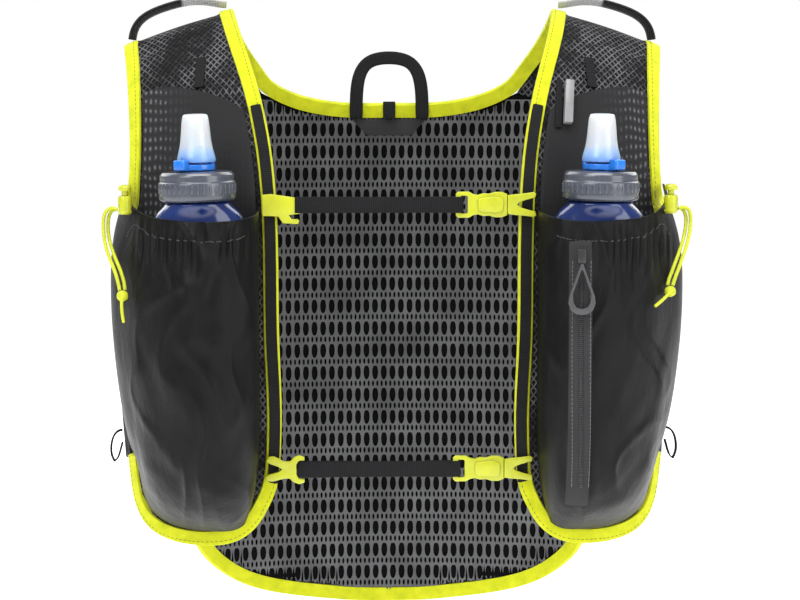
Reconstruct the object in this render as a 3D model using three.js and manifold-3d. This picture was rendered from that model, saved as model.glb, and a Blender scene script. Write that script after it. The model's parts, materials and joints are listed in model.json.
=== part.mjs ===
// Running hydration vest, worn shape: mesh back and front panels, two gathered flask pockets,
// two soft flasks with bite valves, two chest straps on webbing rails.
// Millimetres, +Z up, front of the vest towards -Y, origin under the shoulder crest on the middle plane.
import * as THREE from 'three';
import { mergeVertices } from 'three/addons/utils/BufferGeometryUtils.js';
import Module from 'manifold-3d';

const wasm = await Module();
wasm.setup();

// Driving sizes of the body of the vest
const halfWidth = 184;
const frontDrop = 355;
const backDrop = 425;
const frontDepth = 98;
const backDepth = 98;
const frontPanelThickness = 2.6;
const backPanelThickness = 4;
const sidePanelThickness = 1.6;
const clearance = 0.3;

// Edge tape
const bindingWidth = 9;
const bindingThickness = 4.6;

// Webbing
const webbingThickness = 1.3;
const railWidth = 7.2;
const railStandOff = 0.6;
const railTop = 62;
const railBottom = 320;
const chestStrapWidth = 10.6;
const chestStrapUpperDrop = 126;
const chestStrapLowerDrop = 302.5;
const chestStrapStandOff = 3;

// Plastic clips and buckles
const clipHeight = 14.6;
const clipThickness = 2.4;
const clipWidth = 25.6;
const clipBar = 3;
const socketWidth = 34;
const socketHeight = 17.2;
const socketThickness = 5.4;
const forkWidth = 19;
const forkSlot = 5;

// Flask pockets
const pocketWall = 1.4;
const pocketLift = 2;
const pocketTop = 134;
const pocketDepth = 66;
const pocketHemRise = 17;
const pocketSquareness = 0.5;
const gatherDepth = 1.5;
const gatherCount = 8;
const foldDepth = 4;
const stretchWall = 1.3;
const stretchTop = 47;
const stretchBottom = 138;

// Zip of the right pocket
const zipWidth = 15;
const zipTop = 147;
const zipBottom = 320;
const zipAcross = 115.5;
const zipThickness = 1;
const zipStandOff = 1.2;
const sliderLength = 9;
const pullWidth = 18;
const pullLength = 13;

// Flask, its cap and its valve
const flaskAcross = 132;
const flaskWidth = 68;
const flaskDepth = 47;
const flaskTop = 122.4;
const flaskBottom = 304;
const flaskNeckRadius = 22;
const flaskStandOff = 3;
const flaskLeanLeft = 1.5;
const flaskLeanRight = 1;
const capRadius = 25.4;
const capHeight = 19.6;
const valveHeight = 37;
const valveTopRadius = 9.3;
const valveFlareRadius = 13;
const valveStemRadius = 7.6;
const leverHeight = 4.2;
const leverReach = 19;

// Cord lock, cord and knot
const lockRadius = 4.6;
const lockHeight = 12;
const lockStroke = 3;
const plungerHeight = 4;
const lockDrop = 131.5;
const lockAcross = 180;
const lockSeat = 0.5;
const cordDiameter = 2.4;
const knotWidth = 8.6;

// Loops, tabs and small trim
const hangLoopWebbing = 9.4;
const hangLoopHalfSpan = 23.6;
const hangLoopRise = 37.5;
const loopWebbing = 9;
const shoulderLoopRise = 14;
const sideLoopReach = 8;
const sideLoopHeight = 22;
const sideLoopWidth = 4.6;
const sideLoopThickness = 1.4;
const tabWidth = 6.8;
const tabTop = 31;
const labelWidth = 53;
const labelHeight = 11.6;
const whistleLength = 27;
const whistleWidth = 6;
const whistleThickness = 4.6;
const whistleDrop = 62;
const whistleAcross = 111.5;
const whistleLean = 1.6;
const whistleRoom = 0.8;
const whistleStrapWidth = 4.4;
const whistleStrapLength = 31;

// Colours from the photo
const colours = {
  yellow: [0xdde02a, 0.6],
  yellowPlastic: [0xe2e430, 0.4],
  mesh: [0x3a3a3c, 0.9],
  spacer: [0x5a5a5c, 0.9],
  nylon: [0x2a2a2c, 0.6],
  stretch: [0x343436, 0.85],
  webbing: [0x222224, 0.8],
  reflective: [0xb9bbbd, 0.5],
  zip: [0x3c3c3f, 0.6],
  flask: [0x16377c, 0.3],
  cap: [0x4a4d58, 0.35],
  valve: [0xd4dbe0, 0.3],
  lever: [0x2f8fe6, 0.35],
  whistle: [0x8d8f92, 0.5],
};

const vest = new THREE.Group();

function addPiece(name, geometry, colour, parent = vest) {
  const [hex, roughness] = colours[colour];
  const material = new THREE.MeshStandardMaterial({ color: hex, roughness, metalness: 0 });
  const mesh = new THREE.Mesh(geometry, material);
  mesh.name = name;
  parent.add(mesh);
  return mesh;
}

// Closed body through rings of equally many points, capped at both ends unless it closes on itself
function loft(rings, closed = false) {
  const count = rings[0].length;
  const positions = rings.flat().flatMap((p) => [p.x, p.y, p.z]);
  const faces = [];
  const spans = closed ? rings.length : rings.length - 1;
  for (let i = 0; i < spans; i += 1) {
    const here = i * count;
    const next = ((i + 1) % rings.length) * count;
    for (let k = 0; k < count; k += 1) {
      const l = (k + 1) % count;
      faces.push(here + k, here + l, next + l);
      faces.push(here + k, next + l, next + k);
    }
  }
  if (!closed) {
    capFaces(count).forEach(([a, b, c]) => {
      faces.push(a, c, b);
      const last = (rings.length - 1) * count;
      faces.push(last + a, last + b, last + c);
    });
  }
  return outward(positions, faces);
}

// Zigzag of triangles across a ring, which suits both flat strips and round rings
function capFaces(count) {
  const faces = [];
  let low = 0;
  let high = count - 1;
  while (high - low > 1) {
    faces.push([low, low + 1, high]);
    low += 1;
    if (high - low > 1) {
      faces.push([low, high - 1, high]);
      high -= 1;
    }
  }
  return faces;
}

// Geometry whose faces point out, whichever way its rings were given
function outward(positions, faces) {
  let volume = 0;
  const at = (k) => new THREE.Vector3().fromArray(positions, faces[k] * 3);
  for (let f = 0; f < faces.length; f += 3) {
    volume += at(f).dot(at(f + 1).cross(at(f + 2)));
  }
  const turned = volume < 0 ? faces.slice().reverse() : faces;
  const geometry = new THREE.BufferGeometry();
  geometry.setAttribute('position', new THREE.Float32BufferAttribute(positions, 3));
  geometry.setIndex(turned);
  return geometry;
}

function mirrored(geometry) {
  const copy = geometry.clone();
  const position = copy.getAttribute('position');
  for (let i = 0; i < position.count; i += 1) {
    position.setX(i, -position.getX(i));
  }
  const index = Array.from(copy.index ? copy.index.array : Array.from({ length: position.count }, (_, i) => i));
  copy.setIndex(index.reverse());
  copy.deleteAttribute('normal');
  copy.deleteAttribute('uv');
  return copy;
}

function toSolid(geometry) {
  const bare = geometry.clone();
  bare.deleteAttribute('normal');
  bare.deleteAttribute('uv');
  const merged = mergeVertices(bare, 1e-4);
  return new wasm.Manifold(new wasm.Mesh({
    numProp: 3,
    vertProperties: new Float32Array(merged.getAttribute('position').array),
    triVerts: new Uint32Array(merged.index.array),
  }));
}

function fromSolid(solid) {
  const mesh = solid.getMesh();
  const geometry = new THREE.BufferGeometry();
  geometry.setAttribute('position', new THREE.BufferAttribute(new Float32Array(mesh.vertProperties), 3));
  geometry.setIndex(Array.from(mesh.triVerts));
  return geometry;
}

const joined = (a, b) => fromSolid(toSolid(a).add(toSolid(b)));
const cutBy = (a, b) => fromSolid(toSolid(a).subtract(toSolid(b)));

const point = (x, y, z) => new THREE.Vector3(x, y, z);
const blend = (a, b, t) => a + (b - a) * t;
const ramp = (t) => {
  const c = Math.min(Math.max(t, 0), 1);
  return c * c * (3 - 2 * c);
};
const steps = (count) => Array.from({ length: count + 1 }, (_, i) => i / count);

// Smooth value from a table of rows, looked up by one named column
function column(rows, key, value) {
  const curve = new THREE.CatmullRomCurve3(rows.map((r) => point(r[key], r[value], 0)), false, 'centripetal');
  return (t) => {
    let low = 0;
    let high = 1;
    for (let i = 0; i < 24; i += 1) {
      const mid = (low + high) / 2;
      if ((curve.getPoint(mid).x < t) === (rows[0][key] < rows[rows.length - 1][key])) low = mid;
      else high = mid;
    }
    return curve.getPoint((low + high) / 2).y;
  };
}

// Back of the vest. Shares of backDrop and backDepth down the middle, and of halfWidth across.
const backProfile = [
  { drop: 0.05, depth: 0.58, span: 0.93 },
  { drop: 0.15, depth: 0.74, span: 0.89 },
  { drop: 0.28, depth: 0.93, span: 0.835 },
  { drop: 0.47, depth: 1.0, span: 0.84 },
  { drop: 0.68, depth: 0.93, span: 0.835 },
  { drop: 0.82, depth: 0.88, span: 0.79 },
  { drop: 1.0, depth: 0.86, span: 0.685 },
];
// Neckline and yoke seam, and the low back hem, by share of the half span
const backEdges = [
  { across: 0, top: 0.149, hem: 1.0 },
  { across: 0.2, top: 0.15, hem: 0.999 },
  { across: 0.33, top: 0.143, hem: 0.994 },
  { across: 0.43, top: 0.133, hem: 0.99 },
  { across: 0.53, top: 0.114, hem: 0.985 },
  { across: 0.7, top: 0.142, hem: 0.973 },
  { across: 0.85, top: 0.172, hem: 0.95 },
  { across: 0.95, top: 0.195, hem: 0.925 },
  { across: 1.0, top: 0.208, hem: 0.905 },
];
const backWrap = 0.38;
const backWrapPower = 2.2;
const yokeInner = 0.53;
const backDepthAt = column(backProfile, 'drop', 'depth');
const backSpanAt = column(backProfile, 'drop', 'span');
const backTopAt = column(backEdges, 'across', 'top');
const backHemAt = column(backEdges, 'across', 'hem');

// a runs from -1 to 1 across, w from 0 at the hem to 1 at the top edge
function backPoint(a, w) {
  const across = Math.abs(a);
  const drop = blend(backHemAt(across), backTopAt(across), w);
  const edgeDrop = blend(backHemAt(1), backTopAt(1), w);
  const wrap = 1 - backWrap * across ** backWrapPower;
  return point(a * backSpanAt(edgeDrop) * halfWidth, backDepthAt(drop) * backDepth * wrap, -drop * backDrop);
}

// Right front panel with its shoulder part, hem to yoke seam. Shares of halfWidth, of the depth on
// its side, and of frontDrop, for the inner and the outer edge.
const strapSections = [
  { name: 'hem', inX: 0.435, inY: -0.9, inZ: 1.0, outX: 0.965, outY: -0.5, outZ: 1.0, crown: 0.12 },
  { name: 'waist', inX: 0.425, inY: -0.95, inZ: 0.82, outX: 0.99, outY: -0.53, outZ: 0.82, crown: 0.12 },
  { name: 'belly', inX: 0.435, inY: -1.0, inZ: 0.61, outX: 1.0, outY: -0.56, outZ: 0.61, crown: 0.12 },
  { name: 'chest', inX: 0.437, inY: -0.98, inZ: 0.4, outX: 0.98, outY: -0.55, outZ: 0.4, crown: 0.12 },
  { name: 'armpit', inX: 0.455, inY: -0.88, inZ: 0.27, outX: 0.965, outY: -0.49, outZ: 0.285, crown: 0.11 },
  { name: 'collar', inX: 0.5, inY: -0.69, inZ: 0.15, outX: 0.97, outY: -0.38, outZ: 0.19, crown: 0.08 },
  { name: 'slope', inX: 0.565, inY: -0.38, inZ: 0.048, outX: 0.985, outY: -0.2, outZ: 0.108, crown: 0.04 },
  { name: 'crest', inX: 0.598, inY: 0, inZ: -0.004, outX: 1.0, outY: 0, outZ: 0.065, crown: 0.02 },
  { name: 'rear', inX: 0.58, inY: 0.34, inZ: 0.035, outX: 0.98, outY: 0.24, outZ: 0.11, crown: 0.02 },
  { name: 'blade', inX: 0.53, inY: 0.52, inZ: 0.085, outX: 0.925, outY: 0.38, outZ: 0.18, crown: 0.02 },
  { name: 'yoke', inX: 0.472, inY: 0.65, inZ: 0.136, outX: 0.89, outY: 0.5, outZ: 0.25, crown: 0.03 },
];
const crestRow = strapSections.findIndex((row) => row.name === 'crest');
const crestV = crestRow / (strapSections.length - 1);
// Rounded lower corners: how far the hem rises above its lowest line, share of frontDrop
const hemRise = [
  { across: 0, rise: 0.118 },
  { across: 0.06, rise: 0.075 },
  { across: 0.13, rise: 0.034 },
  { across: 0.26, rise: 0.006 },
  { across: 0.42, rise: 0 },
  { across: 0.66, rise: 0.003 },
  { across: 0.82, rise: 0.016 },
  { across: 0.93, rise: 0.04 },
  { across: 1.0, rise: 0.088 },
];
const hemRiseAt = column(hemRise, 'across', 'rise');
const sideDepth = (share) => share * (share < 0 ? frontDepth : backDepth);
const edgeCurve = (x, y, z) => new THREE.CatmullRomCurve3(strapSections.map(
  (r) => point(r[x] * halfWidth, sideDepth(r[y]), -r[z] * frontDrop),
), false, 'centripetal');
const strapInner = edgeCurve('inX', 'inY', 'inZ');
const strapOuter = edgeCurve('outX', 'outY', 'outZ');
const strapCrown = new THREE.SplineCurve(strapSections.map((r) => new THREE.Vector2(r.crown, 0)));
const seamFade = 0.16;
const hemFade = 0.26;

function strapBase(u, v) {
  const inner = strapInner.getPoint(v);
  const outer = strapOuter.getPoint(v);
  const along = strapInner.getTangent(Math.min(Math.max(v, 0.001), 0.999));
  const out = outer.clone().sub(inner).cross(along).normalize();
  const place = inner.lerp(outer, u).addScaledVector(out, 4 * u * (1 - u) * strapCrown.getPoint(v).x * frontDepth);
  place.z += hemRiseAt(u) * frontDrop * (1 - ramp(v / hemFade));
  return place;
}

// u runs from 0 at the inner edge to 1 at the outer edge, v from 0 at the hem to 1 at the yoke seam
function strapPoint(u, v) {
  const place = strapBase(u, v);
  const pull = ramp((v - 1 + seamFade) / seamFade);
  if (pull > 0) {
    const seam = backPoint(blend(yokeInner, 1, u), 1);
    place.addScaledVector(seam.sub(strapBase(u, 1)), pull);
  }
  return place;
}

// Outward normal of a surface given as a function of two shares
function normalAt(surface, s, t) {
  const e = 0.004;
  const s0 = Math.max(s - e, 0);
  const s1 = Math.min(s + e, 1);
  const t0 = Math.max(t - e, 0);
  const t1 = Math.min(t + e, 1);
  const across = surface(s1, t).sub(surface(s0, t));
  const along = surface(s, t1).sub(surface(s, t0));
  return across.cross(along).normalize();
}
// Back as shares 0 to 1 from right to left, so that its normal points out too
const backSheet = (s, w) => backPoint(1 - 2 * s, w);

// Share v of the front panel whose edge lies at a drop below the crest, in front
function strapV(drop, u = 0) {
  let low = 0;
  let high = crestV;
  for (let i = 0; i < 30; i += 1) {
    const mid = (low + high) / 2;
    if (-strapPoint(u, mid).z > drop) low = mid;
    else high = mid;
  }
  return (low + high) / 2;
}
// Share w of the back whose edge lies at a drop
function backW(drop, a = 1) {
  const share = drop / backDrop;
  return (share - backHemAt(a)) / (backTopAt(a) - backHemAt(a));
}
// Place and normal on the front panel at a distance across and a drop
function frontAt(across, drop) {
  let u = 0.5;
  let v = 0.3;
  for (let i = 0; i < 6; i += 1) {
    v = strapV(drop, u);
    const inner = strapPoint(0, v).x;
    const outer = strapPoint(1, v).x;
    u = Math.min(Math.max((across - inner) / (outer - inner), 0), 1);
  }
  return { place: strapPoint(u, v), normal: normalAt(strapPoint, u, v) };
}

// Directions into the sheet along an edge that is given as places with normals
function edgeInward(edge, closed = false) {
  return edge.map((stop, i) => {
    const last = edge.length - 1;
    const before = edge[i > 0 ? i - 1 : (closed ? last : 0)].place;
    const after = edge[i < last ? i + 1 : (closed ? 0 : last)].place;
    const first = stop.place.clone().sub(before);
    const second = after.clone().sub(stop.place);
    const useful = [first, second].filter((d) => d.lengthSq() > 1e-9).map((d) => d.normalize());
    const turn = useful.length === 2 ? Math.sqrt((1 + useful[0].dot(useful[1])) / 2) : 1;
    const along = useful.reduce((sum, d) => sum.add(d), point(0, 0, 0)).normalize();
    return stop.normal.clone().cross(along).normalize().multiplyScalar(1 / Math.max(turn, 0.6));
  });
}

function bindingGeometry(edge, inward, closed = false) {
  const half = bindingThickness / 2;
  return loft(edge.map((stop, i) => {
    const inner = stop.place.clone().addScaledVector(inward[i], bindingWidth);
    return [
      stop.place.clone().addScaledVector(stop.normal, half),
      inner.clone().addScaledVector(stop.normal, half),
      inner.clone().addScaledVector(stop.normal, -half),
      stop.place.clone().addScaledVector(stop.normal, -half),
    ];
  }), closed);
}

// Sheet of one thickness through a grid of places with normals, rows from hem to top
function sheet(grid, thickness, lift = 0) {
  return loft(grid.map((row) => [
    ...row.map((stop) => stop.place.clone().addScaledVector(stop.normal, lift + thickness / 2)),
    ...row.slice().reverse().map((stop) => stop.place.clone().addScaledVector(stop.normal, lift - thickness / 2)),
  ]));
}

const onSurface = (surface, s, t) => ({ place: surface(s, t), normal: normalAt(surface, s, t) });
const moved = (stop, by, amount) => ({ place: stop.place.clone().addScaledVector(by, amount), normal: stop.normal });
// Stop with the level way across the surface
const sideways = (stop) => ({
  ...stop, side: point(1, 0, 0).addScaledVector(stop.normal, -stop.normal.x).normalize(),
});

// Webbing laid on a surface: stops along its middle, with the way across it
function webbing(stops, width, thickness, lift) {
  return loft(stops.map(({ place, normal, side }) => {
    const middle = place.clone().addScaledVector(normal, lift + thickness / 2);
    const corner = (a, b) => middle.clone().addScaledVector(side, (a * width) / 2)
      .addScaledVector(normal, (b * thickness) / 2);
    return [corner(-1, 1), corner(1, 1), corner(1, -1), corner(-1, -1)];
  }));
}

// Front panel, its grid and its edges
const panelColumns = [0, 0.17, 0.33, 0.5, 0.67, 0.83, 1];
const hemStops = [0, 0.06, 0.13, 0.26, 0.42, 0.58, 0.74, 0.87, 0.95, 1];
const armholeFrontDrop = 122;
const armholeBackDrop = 152;
const armholeV = strapV(armholeFrontDrop, 1);
const seamInset = clearance;

const panelRows = [0, 0.045, 0.09, 0.14, 0.19, 0.24, 0.29, armholeV, 0.4, 0.44, 0.48, 0.52, 0.56, 0.6, 0.64,
  0.67, 0.7, 0.73, 0.765, 0.8, 0.84, 0.88, 0.92, 0.96, 1].sort((a, b) => a - b);

const crestSplit = panelRows.reduce((best, v) => (Math.abs(v - crestV) < Math.abs(best - crestV) ? v : best));
const innerFrontEdge = panelRows.filter((v) => v > 0 && v <= crestSplit).reverse().map((v) => onSurface(strapPoint, 0, v));
const hemEdge = hemStops.map((u) => onSurface(strapPoint, u, 0));
const frontEdge = [...innerFrontEdge, ...hemEdge, onSurface(strapPoint, 1, panelRows[1])];
const bindingInset = bindingWidth + clearance * 2;

// Neck edge: from the crest over the back of the shoulder and along the back neckline
const innerRearEdge = panelRows.filter((v) => v >= crestSplit && v < 1).map((v) => onSurface(strapPoint, 0, v));
const necklineStops = [yokeInner, 0.43, 0.33, 0.2, 0.07];
const necklineEdge = necklineStops.map((a) => onSurface(backSheet, (1 - a) / 2, 1));
const neckHalf = [...innerRearEdge, ...necklineEdge];
const flipped = (stop) => ({
  place: stop.place.clone().multiply(point(-1, 1, 1)),
  normal: stop.normal.clone().multiply(point(-1, 1, 1)),
});
const neckEdge = [...neckHalf, ...neckHalf.slice().reverse().map(flipped)];
// One chain of directions from the outer hem corner to the middle of the neckline
const innerChain = [...frontEdge.slice().reverse(), ...neckHalf.slice(1), flipped(neckHalf[neckHalf.length - 1])];
const chainInward = edgeInward(innerChain).map((d) => d.negate());
const frontInward = chainInward.slice(0, frontEdge.length).reverse();
const neckHalfInward = chainInward.slice(frontEdge.length - 1, -1);
const neckInward = [...neckHalfInward, ...neckHalfInward.slice().reverse().map((d) => d.clone().setX(-d.x))];

// Armhole edge: up the front panel, over the shoulder, down the back, forward over the side panel
const armholeFront = panelRows.filter((v) => v >= armholeV && v < 1).map((v) => onSurface(strapPoint, 1, v));
const armholeBackW = backW(armholeBackDrop);
const backHeight = (backHemAt(1) - backTopAt(1)) * backDrop;
const cornerRow = (bindingInset * 1.5) / backHeight;
const sideBottomBackW = 0.22;
const hemEndRow = steps(15).filter((w) => w <= sideBottomBackW + 0.03).pop();
const backRows = steps(15).filter((w) => w > armholeBackW + 0.055 || w < armholeBackW - cornerRow * 1.4)
  .concat(armholeBackW, armholeBackW - cornerRow, hemEndRow + bindingWidth / 2 / backHeight)
  .sort((a, b) => a - b);
const armholeBack = backRows.filter((w) => w >= armholeBackW).reverse().map((w) => onSurface(backSheet, 0, w));
const sideBulge = 16;
const sideSeamGap = 0.9;
function sidePoint(s, t) {
  const front = strapPoint(1, blend(panelRows[1], armholeV, t));
  const back = backPoint(1, blend(sideBottomBackW, armholeBackW, t));
  const place = front.lerp(back, s);
  place.x += 4 * s * (1 - s) * sideBulge;
  return place;
}
const sideColumns = steps(6);
const armholeSide = sideColumns.slice(1, -1).reverse().map((s) => onSurface(sidePoint, s, 1));
const armholeEdge = [...armholeFront, ...armholeBack, ...armholeSide];
const armholeInward = edgeInward(armholeEdge, true);

// Place just inside the edge tape, where an edge runs through a stop
function boundTo(edge, inward, place) {
  const index = edge.findIndex((other) => other.place.distanceTo(place) < 1e-3);
  return index < 0 ? null : { place: edge[index].place.clone().addScaledVector(inward[index], bindingInset),
    normal: edge[index].normal };
}
function panelStop(u, v) {
  const stop = onSurface(strapPoint, u, v);
  const bound = boundTo(frontEdge, frontInward, stop.place) || boundTo(neckHalf, neckHalfInward, stop.place)
    || boundTo(armholeEdge, armholeInward, stop.place) || stop;
  if (v === 1) return moved(bound, strapPoint(u, 0.97).sub(strapPoint(u, 1)).normalize(), seamInset);
  if (u === 1 && bound === stop) return moved(stop, strapPoint(0.9, v).sub(stop.place).normalize(), seamInset);
  return bound;
}
// Stop on the yoke seam, on the straight runs between the stations that the back panel has too
const seamShares = [1, 0.85, 0.7, yokeInner].map((a) => (a - yokeInner) / (1 - yokeInner)).sort((a, b) => a - b);
function seamStop(u) {
  const next = seamShares.findIndex((share) => share >= u - 1e-9);
  const last = Math.max(next - 1, 0);
  const share = next === last ? 0 : (u - seamShares[last]) / (seamShares[next] - seamShares[last]);
  const place = panelStop(seamShares[last], 1).place.lerp(panelStop(seamShares[next], 1).place, share);
  return { place, normal: panelStop(u, 1).normal };
}
const frontPanelGrid = panelRows.map((v, row) => panelColumns.map((u) => {
  if (v === 1) return seamStop(u);
  if (row > 0) return panelStop(u, v);
  const nearest = hemStops.reduce((best, h) => (Math.abs(h - u) < Math.abs(best - u) ? h : best));
  const index = innerFrontEdge.length + hemStops.indexOf(nearest);
  return { place: frontEdge[index].place.clone().addScaledVector(frontInward[index], bindingInset),
    normal: frontEdge[index].normal };
}));
const frontPanel = sheet(frontPanelGrid, frontPanelThickness);
addPiece('front_panel_right', frontPanel, 'mesh');
addPiece('front_panel_left', mirrored(frontPanel), 'mesh');

const frontBinding = bindingGeometry(frontEdge, frontInward);
addPiece('front_edge_binding_right', frontBinding, 'yellow');
addPiece('front_edge_binding_left', mirrored(frontBinding), 'yellow');

const crestStep = neckEdge[1].place.clone().sub(neckEdge[0].place).normalize();
const neckStart = moved(neckEdge[0], crestStep, clearance);
const neckEnd = flipped(neckStart);
const neckStops = [neckStart, ...neckEdge.slice(1, -1), neckEnd];
addPiece('neck_binding', bindingGeometry(neckStops, neckInward), 'yellow');

const armholeBinding = bindingGeometry(armholeEdge, armholeInward, true);
addPiece('armhole_binding_right', armholeBinding, 'yellow');
addPiece('armhole_binding_left', mirrored(armholeBinding), 'yellow');

// Back panel
const yokeSlopeCosine = 0.75;
const armholeCornerEase = 2;
const backColumnShares = [...[1, 0.85, 0.7], ...necklineStops].flatMap((a) => [(1 - a) / 2, (1 + a) / 2])
  .sort((a, b) => a - b);
const hemSideStops = backRows.filter((w) => w > 0 && w <= hemEndRow);
const backHemEdge = [
  ...hemSideStops.slice().reverse().map((w) => onSurface(backSheet, 0, w)),
  ...backColumnShares.map((s) => onSurface(backSheet, s, 0)),
  ...hemSideStops.map((w) => onSurface(backSheet, 1, w)),
];
const backHemInward = edgeInward(backHemEdge);
function backStop(s, w) {
  const lowered = w === armholeBackW && Math.abs(1 - 2 * s) < 1 ? cornerRow * 0.8 : 0;
  const stop = onSurface(backSheet, s, w - lowered);
  const mirror = s > 0.5;
  const half = mirror ? flipped(stop) : stop;
  const found = boundTo(neckHalf, neckHalfInward, half.place) || boundTo(armholeEdge, armholeInward, half.place);
  const bound = boundTo(backHemEdge, backHemInward, stop.place) || (found && mirror ? flipped(found) : found);
  const place = (bound || stop).place.clone();
  if (w === 1 && Math.abs(1 - 2 * s) > yokeInner - 1e-6) place.z -= seamInset / yokeSlopeCosine;
  const atCorner = w === armholeBackW && Math.abs(1 - 2 * s) === 1;
  if (atCorner) place.addScaledVector(place.clone().sub(stop.place).normalize(), armholeCornerEase);
  if (!bound && (s === 0 || s === 1)) place.x -= Math.sign(place.x) * seamInset;
  return { place, normal: stop.normal };
}
const backGrid = backRows.map((w) => backColumnShares.map((s) => backStop(s, w)));
addPiece('back_panel', sheet(backGrid, backPanelThickness), 'spacer');
addPiece('back_hem_binding', bindingGeometry(backHemEdge, backHemInward), 'yellow');

// Side panels, plain, from the front's outer edge to the back's side edge
const sideRows = steps(6);
const sideNormal = (s, t) => normalAt(sidePoint, s, t);
const sideGrid = sideRows.map((t) => sideColumns.map((s) => {
  const stop = { place: sidePoint(s, t), normal: sideNormal(s, t) };
  const along = sidePoint(Math.min(s + 0.05, 1), t).sub(sidePoint(Math.max(s - 0.05, 0), t)).normalize();
  const edgeShift = s === 0 ? sideSeamGap : (s === 1 ? -sideSeamGap * 1.3 : 0);
  const rise = sidePoint(s, Math.min(t + 0.05, 1)).sub(sidePoint(s, Math.max(t - 0.05, 0))).normalize();
  stop.place.addScaledVector(along, edgeShift);
  if (t === 1) stop.place.addScaledVector(rise, -bindingInset);
  return stop;
}));
const sidePanel = sheet(sideGrid, sidePanelThickness);
addPiece('side_panel_right', sidePanel, 'nylon');
addPiece('side_panel_left', mirrored(sidePanel), 'nylon');

// Webbing rails sewn along the inner front edges, on the same stations as the edge tape
const railLift = bindingThickness / 2 + railStandOff;
const railPath = frontEdge.map((stop, i) => ({
  place: stop.place.clone().addScaledVector(frontInward[i], bindingWidth / 2),
  normal: stop.normal,
  side: frontInward[i].clone().normalize(),
})).filter((stop) => -stop.place.z > railTop && -stop.place.z < railBottom && stop.place.x < halfWidth * 0.6);
const rail = webbing(railPath, railWidth, webbingThickness, railLift);
addPiece('rail_right', rail, 'webbing');
addPiece('rail_left', mirrored(rail), 'webbing');

// Foremost depth of the rail at a drop
function railFaceAt(drop) {
  const found = railPath.findIndex((stop) => -stop.place.z >= drop);
  const after = Math.max(found < 0 ? railPath.length - 1 : found, 1);
  const next = railPath[after];
  const last = railPath[after - 1];
  const share = (drop + last.place.z) / (last.place.z - next.place.z);
  return blend(last.place.y, next.place.y, share) - (railLift + webbingThickness) - clearance;
}

// Outline of a strip of one thickness along a bent line, as a closed shape
function ribbonShape(line, thickness) {
  const offset = (side) => line.map((p, i) => {
    const before = line[Math.max(i - 1, 0)];
    const after = line[Math.min(i + 1, line.length - 1)];
    const along = after.clone().sub(before).normalize();
    return new THREE.Vector2(p.x - along.y * side, p.y + along.x * side);
  });
  const loop = [...offset(thickness / 2), ...offset(-thickness / 2).reverse()];
  return new THREE.Shape(loop);
}
// Plate drawn in plan and extruded upwards from a drop
function upright(shape, bottom, height, curveSegments = 4) {
  const geometry = new THREE.ExtrudeGeometry(shape, { depth: height, bevelEnabled: false, curveSegments });
  geometry.translate(0, 0, bottom);
  return geometry;
}
// Plate drawn in the front view (x, z) and extruded towards the back
function facing(shape, front, thickness, curveSegments = 4) {
  const geometry = new THREE.ExtrudeGeometry(shape, { depth: thickness, bevelEnabled: false, curveSegments });
  geometry.rotateX(Math.PI / 2);
  geometry.translate(0, front + thickness, 0);
  return geometry;
}
function roundedBox(x0, z0, x1, z1, radius) {
  const shape = new THREE.Shape();
  shape.moveTo(x0 + radius, z0);
  shape.lineTo(x1 - radius, z0);
  shape.quadraticCurveTo(x1, z0, x1, z0 + radius);
  shape.lineTo(x1, z1 - radius);
  shape.quadraticCurveTo(x1, z1, x1 - radius, z1);
  shape.lineTo(x0 + radius, z1);
  shape.quadraticCurveTo(x0, z1, x0, z1 - radius);
  shape.lineTo(x0, z0 + radius);
  shape.quadraticCurveTo(x0, z0, x0 + radius, z0);
  return shape;
}
const shapeFrom = (points) => new THREE.Shape(points.map(([x, y]) => new THREE.Vector2(x, y)));

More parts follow.
